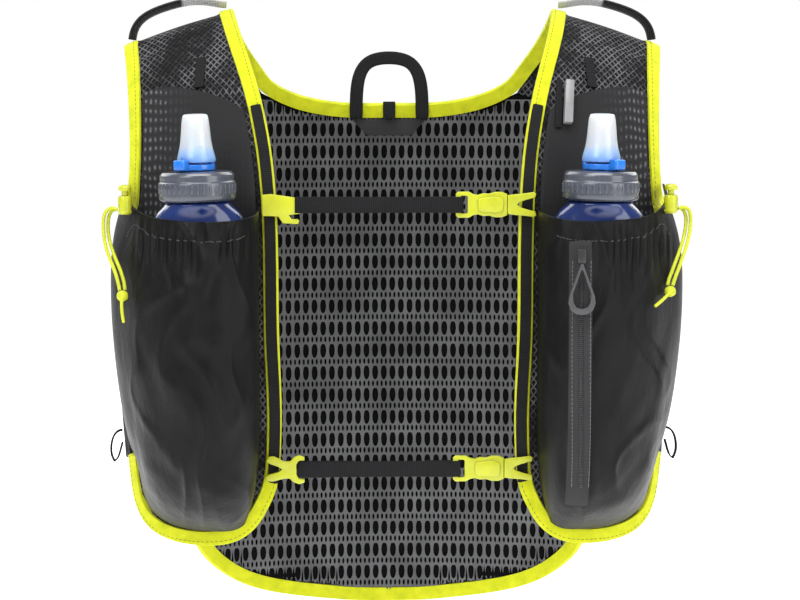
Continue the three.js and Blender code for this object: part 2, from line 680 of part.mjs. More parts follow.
// Chest straps: rail clip on the left, ladder socket and forked clip on the right
function chestStrap(name, drop, hooked) {
  const v = strapV(drop);
  const edge = strapPoint(0, v);
  const reachesOver = [-1, 1].map((side) => railFaceAt(drop + side * (clipHeight / 2 + bindingWidth / 4)));
  const railFace = Math.min(...reachesOver, railFaceAt(drop)) - clearance * 2;
  const plateFront = railFace - clipThickness;
  const bottom = -drop - clipHeight / 2;
  const railAcross = edge.x + bindingWidth / 2;
  const clipEnd = -railAcross + clipWidth - railWidth / 2 - clearance;
  const barX = clipEnd - clipBar;

  // Left clip: a plate over the rail with a bar that the strap folds round
  const plate = facing(roundedBox(-railAcross - railWidth / 2 - 1, bottom, clipEnd, bottom + clipHeight, 2),
    plateFront, clipThickness);
  const slotBox = new THREE.BoxGeometry(forkSlot - 1, clipThickness * 3, chestStrapWidth + 1);
  slotBox.translate(barX - (forkSlot - 1) / 2, railFace, -drop);
  let leftClip = cutBy(plate, slotBox);
  if (hooked) {
    const lip = shapeFrom([[0.08, 0.02], [0.86, 0.02], [0.9, -0.18], [0.4, -0.37], [0.34, -0.2], [0.12, -0.16]]
      .map(([x, z]) => [-railAcross - railWidth / 2 + x * clipWidth * 0.8, bottom + z * clipHeight]));
    leftClip = joined(leftClip, facing(lip, plateFront, clipThickness));
  } else {
    const arm = (low, high) => shapeFrom([[-0.02, low], [0.5, (low + high) / 2 - 0.18], [0.5, (low + high) / 2 + 0.18],
      [-0.02, high]].map(([x, z]) => [-railAcross - railWidth / 2 - 1 + x * clipWidth, bottom + z * clipHeight]));
    leftClip = joined(leftClip, facing(arm(0.75, 1.2), plateFront - 0.6, clipThickness + 0.6));
    leftClip = joined(leftClip, facing(arm(-0.2, 0.25), plateFront - 0.6, clipThickness + 0.6));
  }
  addPiece(`rail_clip_${name}_left`, leftClip, 'yellowPlastic');

  // Right side: forked clip over the rail, and the socket that it snaps into
  const forkOuter = railAcross + railWidth / 2 + 2;
  const forkInner = forkOuter - forkWidth;
  const fork = facing(roundedBox(forkInner, bottom - 1, forkOuter, bottom + clipHeight + 1, 2.4), plateFront, clipThickness);
  const slit = new THREE.BoxGeometry(forkWidth * 0.34, clipThickness * 3, clipHeight * 0.24);
  slit.translate(forkInner + forkWidth * 0.42, plateFront, -drop);
  addPiece(`rail_clip_${name}_right`, cutBy(fork, slit), 'yellowPlastic');

  const socketEnd = forkInner - clearance;
  const socketStart = socketEnd - socketWidth;
  const ringDepth = socketWidth * 0.32;
  const socketFront = plateFront - (socketThickness - clipThickness) / 2;
  let socket = facing(roundedBox(socketStart, -drop - socketHeight / 2, socketStart + ringDepth,
    -drop + socketHeight / 2, 2), plateFront, clipThickness);
  const body = facing(roundedBox(socketStart + ringDepth - 1, -drop - socketHeight * 0.37, socketEnd,
    -drop + socketHeight * 0.37, 1.6), socketFront, socketThickness);
  socket = joined(socket, body);
  const eye = new THREE.BoxGeometry(forkSlot, clipThickness * 4, chestStrapWidth + 1);
  const eyeX = socketStart + clipBar + forkSlot / 2;
  eye.translate(eyeX, plateFront, -drop);
  addPiece(`buckle_socket_${name}`, cutBy(socket, eye), 'yellowPlastic');

  // Strap: one strip folded round the clip's bar and round the socket's bar
  const middle = plateFront + clipThickness / 2;
  const reach = clipThickness / 2 + webbingThickness / 2 + clearance * 1.6;
  const leftBar = barX + clipBar / 2;
  const rightBar = socketStart + clipBar / 2;
  const round = clipBar / 2 + webbingThickness / 2 + clearance * 2.6;
  const line = [
    [leftBar + clipWidth * 1.35, middle + reach],
    [leftBar + round * 0.4, middle + reach],
    [leftBar - round * 0.85, middle + reach * 0.8],
    [leftBar - round, middle],
    [leftBar - round * 0.85, middle - reach * 0.8],
    [leftBar + round * 0.4, middle - reach],
    [leftBar + clipWidth * 0.5, middle - reach],
    [leftBar + clipWidth * 0.9, middle - reach * 0.2 ],
    [rightBar - clipWidth * 0.9, middle - reach * 0.2],
    [rightBar - clipWidth * 0.4, middle - reach],
    [rightBar - round * 0.4, middle - reach],
    [rightBar + round * 0.85, middle - reach * 0.8],
    [rightBar + round, middle],
    [rightBar + round * 0.85, middle + reach * 0.8],
    [rightBar - round * 0.4, middle + reach],
    [rightBar - clipWidth * 0.8, middle + reach],
  ].map(([x, y]) => new THREE.Vector2(x, y));
  const strap = upright(ribbonShape(line, webbingThickness), -drop - chestStrapWidth / 2, chestStrapWidth);
  addPiece(`chest_strap_${name}`, strap, 'webbing');
}
chestStrap('upper', chestStrapUpperDrop, true);
chestStrap('lower', chestStrapLowerDrop, false);

// Flask pocket, right side. Shares of halfWidth across and of pocketDepth forward, by share of its height.
const pocketSections = [
  { height: 0, inner: 0.56, outer: 0.935, bulge: 0.1 },
  { height: 0.05, inner: 0.53, outer: 0.965, bulge: 0.42 },
  { height: 0.15, inner: 0.508, outer: 0.99, bulge: 0.78 },
  { height: 0.35, inner: 0.505, outer: 1.02, bulge: 0.96 },
  { height: 0.62, inner: 0.505, outer: 1.04, bulge: 1.0 },
  { height: 0.84, inner: 0.505, outer: 1.03, bulge: 0.98 },
  { height: 0.93, inner: 0.505, outer: 1.0, bulge: 0.93 },
  { height: 1, inner: 0.505, outer: 0.985, bulge: 0.9 },
];
const pocketInnerAt = column(pocketSections, 'height', 'inner');
const pocketOuterAt = column(pocketSections, 'height', 'outer');
const pocketBulgeAt = column(pocketSections, 'height', 'bulge');
// Rim of the pocket: how far it rises above its lowest point, as a share of pocketHemRise
const rimSections = [
  { across: 0, rise: 0.3 },
  { across: 0.3, rise: 0.02 },
  { across: 0.5, rise: 0 },
  { across: 0.7, rise: 0.12 },
  { across: 0.88, rise: 0.6 },
  { across: 1, rise: 1.15 },
];
const rimRiseAt = column(rimSections, 'across', 'rise');
// Gathers start at a share across, and soft folds have a place, a direction and a share of foldDepth
const pocketStyles = {
  right: {
    gatherStart: 0.42,
    folds: [
      { across: 0.16, height: 0.5, slope: 0.25, width: 0.05, length: 0.3, depth: -0.6 },
      { across: 0.7, height: 0.8, slope: -0.4, width: 0.06, length: 0.12, depth: -0.6 },
      { across: 0.76, height: 0.35, slope: -0.4, width: 0.09, length: 0.25, depth: 0.5 },
    ],
  },
  left: {
    gatherStart: 0.14,
    folds: [
      { across: 0.5, height: 0.87, slope: 0, width: 0.06, length: 0.07, depth: -0.8 },
      { across: 0.28, height: 0.7, slope: 0.5, width: 0.06, length: 0.2, depth: -0.8 },
      { across: 0.2, height: 0.42, slope: 0.45, width: 0.06, length: 0.22, depth: 0.6 },
      { across: 0.34, height: 0.2, slope: 0.6, width: 0.08, length: 0.2, depth: -0.6 },
      { across: 0.76, height: 0.32, slope: -0.5, width: 0.09, length: 0.25, depth: 0.5 },
    ],
  },
};
const pocketColumns = 20;
const pocketRows = [0, 0.03, 0.08, 0.16, 0.28, 0.42, 0.56, 0.7, 0.81, 0.89, 0.935, 0.965, 1];
function hemSlope(u) {
  const run = 0.02 * (strapSections[0].outX - strapSections[0].inX) * halfWidth;
  const rise = (hemRiseAt(Math.min(u + 0.01, 1)) - hemRiseAt(Math.max(u - 0.01, 0))) * frontDrop;
  return rise / run;
}
function pocketPoint(s, h, style = pocketStyles.right) {
  const turn = Math.PI * s;
  const swell = Math.sin(turn) ** pocketSquareness;
  const inner = pocketInnerAt(h) * halfWidth;
  const outer = pocketOuterAt(h) * halfWidth;
  const across = blend(inner, outer, (1 - Math.cos(turn)) / 2);
  const top = pocketTop - rimRiseAt(s) * pocketHemRise;
  const share = Math.min(Math.max((across - 0.435 * halfWidth) / (0.53 * halfWidth), 0), 1);
  const low = frontDrop * (1 - hemRiseAt(share)) - pocketLift - bindingWidth * Math.hypot(1, hemSlope(share));
  const drop = blend(low, top, h);
  const base = pocketBase(across, drop);
  const gather = gatherDepth * Math.cos(2 * Math.PI * gatherCount * s) * ramp((h - 0.8) / 0.12)
    * ramp((s - style.gatherStart) / 0.12) * ramp((1 - s) / 0.12) * (1 - 0.5 * ramp((h - 0.96) / 0.03));
  const fold = style.folds.reduce((sum, f) => {
    const along = (h - f.height) + (s - f.across) * f.slope;
    const beside = (s - f.across) - (h - f.height) * f.slope;
    return sum + f.depth * foldDepth * Math.exp(-((beside / f.width) ** 2) - (along / f.length) ** 2);
  }, 0) * ramp(Math.min(s, 1 - s) / 0.1);
  const forward = pocketBulgeAt(h) * pocketDepth * swell + gather + fold;
  return point(across, base - pocketLift - pocketWall / 2 - forward, -drop);
}
// Front face of the panel in front of which the pocket is sewn
const baseCache = new Map();
function pocketBase(across, drop) {
  const key = `${across.toFixed(2)} ${drop.toFixed(2)}`;
  if (!baseCache.has(key)) baseCache.set(key, frontAt(across, Math.min(drop, frontDrop * 0.96)).place.y);
  return baseCache.get(key) - bindingThickness / 2;
}
const pocketSheet = (style) => {
  const surface = (s, h) => pocketPoint(s, h, style);
  return sheet(pocketRows.map((h) => steps(pocketColumns).map((s) => onSurface(surface, s, h))), pocketWall);
};
addPiece('pocket_right', pocketSheet(pocketStyles.right), 'nylon');
addPiece('pocket_left', mirrored(pocketSheet(pocketStyles.left)), 'nylon');

// Place and outward direction on the outside of the pocket at a distance across and a drop
function pocketAt(across, drop) {
  let s = 0.4;
  let h = 0.5;
  for (let i = 0; i < 40; i += 1) {
    const here = pocketPoint(s, h);
    s = Math.min(Math.max(s + (across - here.x) / (halfWidth * 0.9), 0.02), 0.98);
    h = Math.min(Math.max(h + (here.z * -1 - drop) / (frontDrop * 0.6), 0.01), 0.99);
  }
  return { place: pocketPoint(s, h), normal: normalAt(pocketPoint, s, h) };
}

// Zip down the right pocket: tape, slider and pull
const zipStops = steps(12).map((t) => sideways(pocketAt(zipAcross, blend(zipBottom, zipTop, t))));
const zipLift = pocketWall / 2 + zipStandOff;
addPiece('zip_tape', webbing(zipStops, zipWidth, zipThickness, zipLift), 'zip');
const sliderStop = pocketAt(zipAcross, zipTop + sliderLength);
const sliderFront = Math.min(...[-0.5, 0.5].map((k) => pocketAt(zipAcross, zipTop + sliderLength * (1 + k)).place.y))
  - zipLift - zipThickness - zipStandOff * 1.5;
const slider = facing(roundedBox(zipAcross - sliderLength * 0.3, -zipTop - sliderLength * 1.5,
  zipAcross + sliderLength * 0.3, -zipTop - sliderLength / 2, 1.4), sliderFront - sliderLength / 3, sliderLength / 3);
addPiece('zip_slider', slider, 'zip');
const pullTop = zipTop + sliderLength * 1.5 + clearance;
const pullCord = sliderLength * 2.2;
const pullEnd = pullTop + pullCord + pullLength;
const pullBehind = [0, 0.4, 0.7, 1].flatMap((t) => [-0.5, 0, 0.5].map((k) => (
  pocketAt(zipAcross + k * pullWidth, blend(pullTop, pullEnd, t)).place.y)));
const pullThickness = sliderLength / 3 - clearance;
const pullFront = Math.min(...pullBehind, sliderFront + pullThickness) - zipLift - zipThickness
  - zipStandOff - pullThickness;
const stem = facing(roundedBox(zipAcross - 1.4, -pullTop - pullCord - 2, zipAcross + 1.4, -pullTop, 0.6),
  pullFront, pullThickness);
const grip = facing(roundedBox(zipAcross - pullWidth / 2, -pullEnd, zipAcross + pullWidth / 2, -pullTop - pullCord,
  pullWidth * 0.3), pullFront, pullThickness);
const gripHole = facing(roundedBox(zipAcross - pullWidth * 0.28, -pullEnd + pullLength * 0.28,
  zipAcross + pullWidth * 0.28, -pullEnd + pullLength * 0.78, 2), pullFront - pullThickness, pullThickness * 3);
const pull = cutBy(joined(grip, stem), gripHole);
addPiece('zip_pull', pull, 'webbing');

// Stretch pocket on the panel, behind the flask's valve. Rim drops as shares of stretchTop.
const stretchRim = [
  { across: 0, drop: 1.42 },
  { across: 0.25, drop: 1.22 },
  { across: 0.5, drop: 1.1 },
  { across: 0.75, drop: 0.99 },
  { across: 1, drop: 1.0 },
];
const stretchRimAt = column(stretchRim, 'across', 'drop');
const stretchGrid = [0, 0.18, 0.36, 0.54, 0.7, 0.84, 0.93, 1].map((t) => steps(6).map((k) => {
  const drop = blend(stretchBottom, stretchRimAt(k) * stretchTop, t);
  const v = strapV(drop, 0.5);
  const width = strapPoint(0, v).distanceTo(strapPoint(1, v));
  const inset = (bindingWidth + 3) / width;
  return onSurface(strapPoint, blend(inset, 1 - inset, k), v);
}));
const stretchLift = frontPanelThickness / 2 + stretchWall / 2 + clearance * 3;
const stretchPocket = sheet(stretchGrid, stretchWall, stretchLift);
addPiece('stretch_pocket_right', stretchPocket, 'stretch');
addPiece('stretch_pocket_left', mirrored(stretchPocket), 'stretch');

// Soft flask with its cap, shut-off lever and bite valve, about its own upright axis.
// Widths and depths as shares of flaskWidth and flaskDepth, heights as shares of the flask's height.
const flaskSections = [
  { height: 0, width: 0.45, depth: 0.34 },
  { height: 0.035, width: 0.76, depth: 0.6 },
  { height: 0.11, width: 0.93, depth: 0.85 },
  { height: 0.25, width: 1, depth: 1 },
  { height: 0.6, width: 1, depth: 1 },
  { height: 0.84, width: 0.97, depth: 0.92 },
  { height: 0.92, width: 0.94, depth: 0.86 },
  { height: 0.96, width: 0.82, depth: 0.84 },
];
const flaskHeight = flaskBottom - flaskTop;
const flaskSides = 20;
function ellipseRing(halfX, halfY, z, sides = flaskSides) {
  return steps(sides).slice(0, -1).map((t) => (
    point(halfX * Math.cos(2 * Math.PI * t), halfY * Math.sin(2 * Math.PI * t), z)));
}
const flaskRings = flaskSections.map((r) => (
  ellipseRing((r.width * flaskWidth) / 2, (r.depth * flaskDepth) / 2, (r.height - 1) * flaskHeight)));
flaskRings.push(ellipseRing(flaskNeckRadius, flaskNeckRadius, -flaskHeight * 0.012));
flaskRings.push(ellipseRing(flaskNeckRadius - 1, flaskNeckRadius - 1, 0));
const lathe = (profile, segments) => new THREE.LatheGeometry(
  profile.map(([r, z]) => new THREE.Vector2(r, z)), segments).rotateX(Math.PI / 2);
const capGeometry = lathe([
  [0, 0], [capRadius - 1.5, 0], [capRadius, 1.5], [capRadius, capHeight * 0.62], [capRadius * 0.965, capHeight * 0.66],
  [capRadius * 0.965, capHeight * 0.86], [capRadius * 0.9, capHeight * 0.97], [capRadius * 0.62, capHeight],
  [0, capHeight],
], 28);
const valveGeometry = lathe([
  [0, 0], [valveStemRadius, 0], [valveStemRadius, leverHeight + clearance * 2],
  [valveFlareRadius, leverHeight + clearance * 2 + 0.6], [valveFlareRadius, valveHeight * 0.22],
  [valveFlareRadius * 0.93, valveHeight * 0.3], [valveTopRadius * 1.09, valveHeight * 0.5],
  [valveTopRadius, valveHeight * 0.9], [valveTopRadius * 0.86, valveHeight * 0.98],
  [valveTopRadius * 0.5, valveHeight], [0, valveHeight * 0.985],
], 16);
const leverShape = new THREE.Shape();
leverShape.absarc(0, 0, valveFlareRadius * 0.96, 0, 2 * Math.PI);
const leverHole = new THREE.Path();
leverHole.absarc(0, 0, valveStemRadius + clearance, 0, 2 * Math.PI, true);
leverShape.holes.push(leverHole);
const leverRing = new THREE.ExtrudeGeometry(leverShape, { depth: leverHeight - clearance, bevelEnabled: false, curveSegments: 9 });
const leverArm = (angle, reach, width) => {
  const arm = new THREE.BoxGeometry(reach, width, leverHeight * 1.7);
  arm.translate(reach / 2 + valveFlareRadius * 0.7, 0, leverHeight * 0.85);
  return arm.rotateZ(angle);
};
const leverAngle = THREE.MathUtils.degToRad(-128);
let leverGeometry = joined(leverRing, leverArm(leverAngle, leverReach - valveFlareRadius * 0.7, 9));
leverGeometry = joined(leverGeometry, leverArm(leverAngle + Math.PI, leverReach * 0.8 - valveFlareRadius * 0.7, 6));
const valveFlareCut = lathe([[0, leverHeight], [valveFlareRadius + clearance * 2, leverHeight],
  [valveFlareRadius + clearance * 2, leverHeight * 4], [0, leverHeight * 4]], 20);
leverGeometry = cutBy(leverGeometry, valveFlareCut);

function panelFaceAt(drop, across) {
  return frontAt(across, drop).place.y - frontPanelThickness / 2;
}
const flaskChecks = [0.2, 0.35, 0.5, 0.65, 0.8, 0.95].flatMap((t) => [-0.92, -0.75, -0.5, -0.25, 0, 0.25, 0.5]
  .map((k) => panelFaceAt(blend(flaskTop, flaskBottom * 0.98, t), flaskAcross + (k * flaskWidth) / 2)
    - (flaskDepth / 2) * Math.sqrt(1 - k * k)));
const flaskSeat = Math.min(...flaskChecks) - flaskStandOff;
function flaskGroup(side, name, lean) {
  const group = new THREE.Group();
  group.position.set(side * flaskAcross, flaskSeat, -flaskTop);
  group.rotation.y = THREE.MathUtils.degToRad(lean);
  addPiece(`flask_${name}`, loft(flaskRings), 'flask', group);
  const cap = addPiece(`flask_cap_${name}`, capGeometry.clone(), 'cap', group);
  cap.position.z = clearance;
  const lever = addPiece(`valve_lever_${name}`, leverGeometry.clone(), 'lever', group);
  lever.position.z = capHeight + clearance * 2.5;
  lever.rotation.z = side > 0 ? Math.PI * 0.42 : 0;
  const valve = addPiece(`bite_valve_${name}`, valveGeometry.clone(), 'valve', group);
  valve.position.z = capHeight + clearance * 2;
  vest.add(group);
  return group;
}
flaskGroup(-1, 'left', -flaskLeanLeft);
flaskGroup(1, 'right', flaskLeanRight);

// Cord lock on the end of the pocket's drawcord, with its sprung plunger
const lockY = pocketAt(lockAcross - lockRadius, lockDrop).place.y - pocketWall / 2 - lockRadius * lockSeat - clearance;
const bore = lockRadius * 0.55;
const boreDepth = lockHeight * 0.5;
const lockBody = lathe([
  [0, 0], [lockRadius * 0.8, 0], [lockRadius, lockHeight * 0.12], [lockRadius, lockHeight * 0.85],
  [lockRadius * 0.9, lockHeight], [bore, lockHeight], [bore, lockHeight - boreDepth], [0, lockHeight - boreDepth],
], 14);
const cordHole = new THREE.CylinderGeometry(cordDiameter * 0.9, cordDiameter * 0.9, lockRadius * 3, 10);
cordHole.rotateZ(Math.PI / 2);
cordHole.translate(0, 0, lockHeight * 0.28);
const lockGeometry = cutBy(lockBody, cordHole);
const plungerLift = lockStroke + clearance;
const plungerGeometry = lathe([
  [0, -boreDepth + lockStroke + clearance], [bore - clearance, -boreDepth + lockStroke + clearance],
  [bore - clearance, plungerLift], [lockRadius * 0.9, plungerLift], [lockRadius * 0.95, plungerLift + plungerHeight * 0.6],
  [lockRadius * 0.7, plungerLift + plungerHeight], [0, plungerLift + plungerHeight],
], 14);
const lockGroup = (side, name) => {
  const group = new THREE.Group();
  group.position.set(side * lockAcross, lockY, -lockDrop);
  addPiece(`cord_lock_${name}`, lockGeometry.clone(), 'yellowPlastic', group);
  addPiece(`cord_lock_plunger_${name}`, plungerGeometry.clone(), 'yellowPlastic', group).position.z = lockHeight;
  vest.add(group);
};
lockGroup(-1, 'left');
lockGroup(1, 'right');

// Hang loop, its tab and the bare label at the back neckline, on the inner face of the back
const neckMiddle = backPoint(0, 1);
const neckInnerFace = neckMiddle.y - bindingThickness / 2 - clearance * 2;
const hangPath = [
  [-1, -0.28, 0], [-1, 0.1, 0], [-0.96, 0.42, 0.02], [-0.84, 0.66, 0.06], [-0.6, 0.82, 0.1], [-0.22, 0.88, 0.12],
  [0.22, 0.88, 0.12], [0.6, 0.82, 0.1], [0.84, 0.66, 0.06], [0.96, 0.42, 0.02], [1, 0.1, 0], [1, -0.28, 0],
];
const hangStops = hangPath.map(([x, z, y]) => point(x * hangLoopHalfSpan, neckInnerFace - webbingThickness / 2
  + y * hangLoopRise, neckMiddle.z + z * hangLoopRise));
const hangRings = hangStops.map((stop, i) => {
  const before = hangStops[Math.max(i - 1, 0)];
  const after = hangStops[Math.min(i + 1, hangStops.length - 1)];
  const along = after.clone().sub(before).setY(0).normalize();
  const across = point(-along.z, 0, along.x);
  const corner = (a, b) => stop.clone().addScaledVector(across, (a * hangLoopWebbing) / 2)
    .add(point(0, (b * webbingThickness) / 2, 0));
  return [corner(-1, 1), corner(1, 1), corner(1, -1), corner(-1, -1)];
});
addPiece('hang_loop', loft(hangRings), 'webbing');
const tabFront = neckInnerFace - webbingThickness;
const tab = facing(roundedBox(-tabWidth * 0.65, neckMiddle.z - bindingWidth * 1.15, tabWidth * 0.65,
  neckMiddle.z + bindingWidth * 0.2, 0.8), tabFront, webbingThickness);
addPiece('hang_loop_tab', tab, 'webbing');
const labelTop = neckMiddle.z - bindingWidth * 1.15 - clearance * 2;
const labelFace = Math.min(...[0, 0.5, 1].flatMap((t) => [0, 1].map((k) => (
  backPoint((k * labelWidth) / 2 / (backSpanAt(0.2) * halfWidth), backW(-labelTop + t * labelHeight, 0)).y))))
  - backPanelThickness / 2 - clearance * 3;
const label = facing(shapeFrom([[-0.5, 0], [-0.3, -1], [0.3, -1], [0.5, 0]]
  .map(([x, z]) => [x * labelWidth, labelTop + z * labelHeight])), labelFace - 1, 1);
addPiece('neck_label', label, 'webbing');

// Reflective shoulder loops over the crest
const shoulderPath = [
  { across: 1.0, rise: 0 }, { across: 0.985, rise: 0.42 }, { across: 0.93, rise: 0.78 }, { across: 0.83, rise: 0.97 },
  { across: 0.67, rise: 1 }, { across: 0.4, rise: 0.88 }, { across: 0.2, rise: 0.5 }, { across: 0.08, rise: 0.16 },
  { across: 0, rise: 0 },
];
const loopInner = strapPoint(0, crestV);
const loopOuter = strapPoint(1, crestV);
const shoulderRings = shoulderPath.map((row, i) => {
  const near = (k) => shoulderPath[Math.min(Math.max(k, 0), shoulderPath.length - 1)];
  const spot = (r) => point(blend(loopInner.x + bindingWidth / 2, loopOuter.x - bindingWidth / 2, r.across), 0,
    blend(loopInner.z, loopOuter.z, r.across) + (bindingThickness + webbingThickness) / 2
    + r.rise * shoulderLoopRise);
  const along = spot(near(i + 1)).sub(spot(near(i - 1))).normalize();
  const up = point(-along.z, 0, along.x);
  const lean = point(0, 0.86, 0).addScaledVector(up, 0.5).normalize();
  const thin = point(0, -0.5, 0).addScaledVector(up, 0.86).normalize();
  const corner = (a, b) => spot(row).addScaledVector(lean, (a * loopWebbing) / 2)
    .addScaledVector(thin, (b * webbingThickness) / 2).add(point(0, 0, loopWebbing * 0.28));
  return [corner(-1, 1), corner(1, 1), corner(1, -1), corner(-1, -1)];
});
addPiece('shoulder_loop_right', loft(shoulderRings), 'reflective');
addPiece('shoulder_loop_left', mirrored(loft(shoulderRings)), 'reflective');

// Elastic side loops sewn low on the side panels, as shares of sideLoopReach and sideLoopHeight
const sideLoopPath = [
  { out: 0, down: -0.38 }, { out: 0.4, down: -0.36 }, { out: 0.8, down: -0.2 }, { out: 1, down: 0.1 },
  { out: 0.98, down: 0.4 }, { out: 0.7, down: 0.6 }, { out: 0.38, down: 0.5 }, { out: 0.18, down: 0.25 },
  { out: 0, down: 0 },
];
const sideSpot = sidePoint(0.18, 0.06);
const sideLoopStart = sideSpot.x + (sidePanelThickness + sideLoopThickness) / 2 + clearance;
const sideStops = sideLoopPath.map((row) => point(sideLoopStart + row.out * sideLoopReach, sideSpot.y,
  sideSpot.z - row.down * sideLoopHeight));
const sideLoopRings = sideStops.map((stop, i) => {
  const before = sideStops[Math.max(i - 1, 0)];
  const after = sideStops[Math.min(i + 1, sideStops.length - 1)];
  const along = after.clone().sub(before).normalize();
  const out = point(-along.z, 0, along.x);
  const corner = (a, b) => stop.clone().add(point(0, (a * sideLoopWidth) / 2, 0))
    .addScaledVector(out, (b * sideLoopThickness) / 2);
  return [corner(-1, 1), corner(1, 1), corner(1, -1), corner(-1, -1)];
});
addPiece('side_loop_right', loft(sideLoopRings), 'webbing');
addPiece('side_loop_left', mirrored(loft(sideLoopRings)), 'webbing');

// Webbing tabs above the stretch pockets
const tabAcross = 129;
const tabStops = steps(3).map((t) => (
  sideways(frontAt(tabAcross, blend(tabTop, stretchRimAt(0.5) * stretchTop - clearance * 4, t)))));
const strapTab = webbing(tabStops, tabWidth, webbingThickness, frontPanelThickness / 2 + clearance * 2);
addPiece('strap_tab_right', strapTab, 'webbing');
addPiece('strap_tab_left', mirrored(strapTab), 'webbing');

// Whistle and its strap on the right shoulder, on the slope of the panel and the stretch pocket
const whistleLift = stretchLift + stretchWall / 2 + clearance;
const leaningStops = (across, length, count) => steps(count).map((t) => (
  sideways(frontAt(across + (2 * t - 1) * whistleLean, whistleDrop + (0.5 - t) * length))));
addPiece('whistle', webbing(leaningStops(whistleAcross, whistleLength, 1), whistleWidth, whistleThickness,
  whistleLift + whistleRoom), 'whistle');
const whistleStrapAcross = whistleAcross - whistleWidth / 2 - whistleStrapWidth / 2 - clearance;
addPiece('whistle_strap', webbing(leaningStops(whistleStrapAcross, whistleStrapLength, 4), whistleStrapWidth,
  webbingThickness, whistleLift), 'webbing');

// Drawcords of the pocket rims, two strands a side from the lock to the knot. Points chosen by hand.
const cordRoutes = {
  cord_right_a: [[184.9, -109, -128.1], [188.6, -109.2, -127.6], [191.4, -109, -129.2], [192.8, -108.2, -133],
    [193, -108, -137.6], [192.6, -108.6, -142.4], [191.6, -109.8, -147.2], [190.2, -111.6, -152], [188.4, -113.6, -156.8],
    [186.4, -115.8, -161.6], [184.4, -118.2, -166.4], [182.2, -120.6, -171], [180.4, -123.2, -175.2], [179.2, -125, -178.2]],
  cord_right_b: [[184.9, -106.2, -128.1], [188.2, -106, -129.4], [189.8, -105.8, -132.6], [190.2, -106, -137],
    [189.8, -106.6, -141.6], [188.8, -107.8, -146.2], [187.4, -109.6, -150.8], [185.6, -111.8, -155.4], [183.6, -114.4, -160],
    [181.4, -117.2, -164.6], [179.4, -120, -169], [177.2, -122.8, -173.6], [175.8, -125, -178]],
  cord_left_a: [[-184.9, -109, -128.1], [-189, -109.2, -127.4], [-192.2, -108.8, -129.4], [-193.8, -108, -133.4],
    [-194.2, -107.6, -138.4], [-194, -108, -143.6], [-193.4, -108.8, -148.8], [-192.2, -110, -154],
    [-190.4, -111.8, -159], [-188.4, -114, -163.8], [-186.4, -116.4, -168.6], [-184.8, -119, -173.4],
    [-183.6, -121.8, -177.6], [-183, -123.4, -180.4]],
  cord_left_b: [[-184.9, -106.2, -128.1], [-188.4, -106, -129.2], [-190.4, -105.6, -132.4], [-191.2, -105.4, -137],
    [-191.2, -105.8, -142], [-190.6, -106.6, -147], [-189.4, -108, -152], [-187.6, -110, -157], [-185.6, -112.4, -161.8],
    [-183.4, -115.2, -166.4], [-181.6, -118.2, -171], [-180.2, -121.4, -175.6], [-179.6, -123.4, -180]],
};
const cordSides = 8;
const cordSection = new THREE.Shape(steps(cordSides).slice(0, -1).map((t) => (
  new THREE.Vector2(Math.cos(2 * Math.PI * t), Math.sin(2 * Math.PI * t)).multiplyScalar(cordDiameter / 2))));
function cordTube(points) {
  const path = new THREE.CatmullRomCurve3(points.map((p) => point(...p)), false, 'centripetal');
  const count = Math.ceil(path.getLength() / (cordDiameter * 2));
  return new THREE.ExtrudeGeometry(cordSection, { steps: count, extrudePath: path, bevelEnabled: false });
}
Object.entries(cordRoutes).forEach(([name, points]) => addPiece(name, cordTube(points), 'yellow'));

// Knots that hold the strands together, each with its short tails
const knots = {
  right: { middle: [177.3, -127.4, -181.8], tail: [[174.4, -132, -184.4], [170.6, -137.2, -187], [165.4, -142, -190.4]] },
  left: { middle: [-181.2, -125.6, -183.7], tail: [[-181.6, -128.4, -187.6], [-181.4, -129.8, -193.6], [-180.2, -130.6, -201]] },
};
Object.entries(knots).forEach(([side, knot]) => {
  const ball = new THREE.IcosahedronGeometry(knotWidth / 2, 1);
  ball.scale(1, 0.86, 0.94);
  ball.translate(...knot.middle);
  addPiece(`cord_knot_${side}`, joined(ball, cordTube([knot.middle, ...knot.tail])), 'yellow');
});

export default vest;
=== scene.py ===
import bpy
import bmesh
import json
import math
import numpy as np
from mathutils import Vector, Matrix, noise as foldNoise
from mathutils.bvhtree import BVHTree


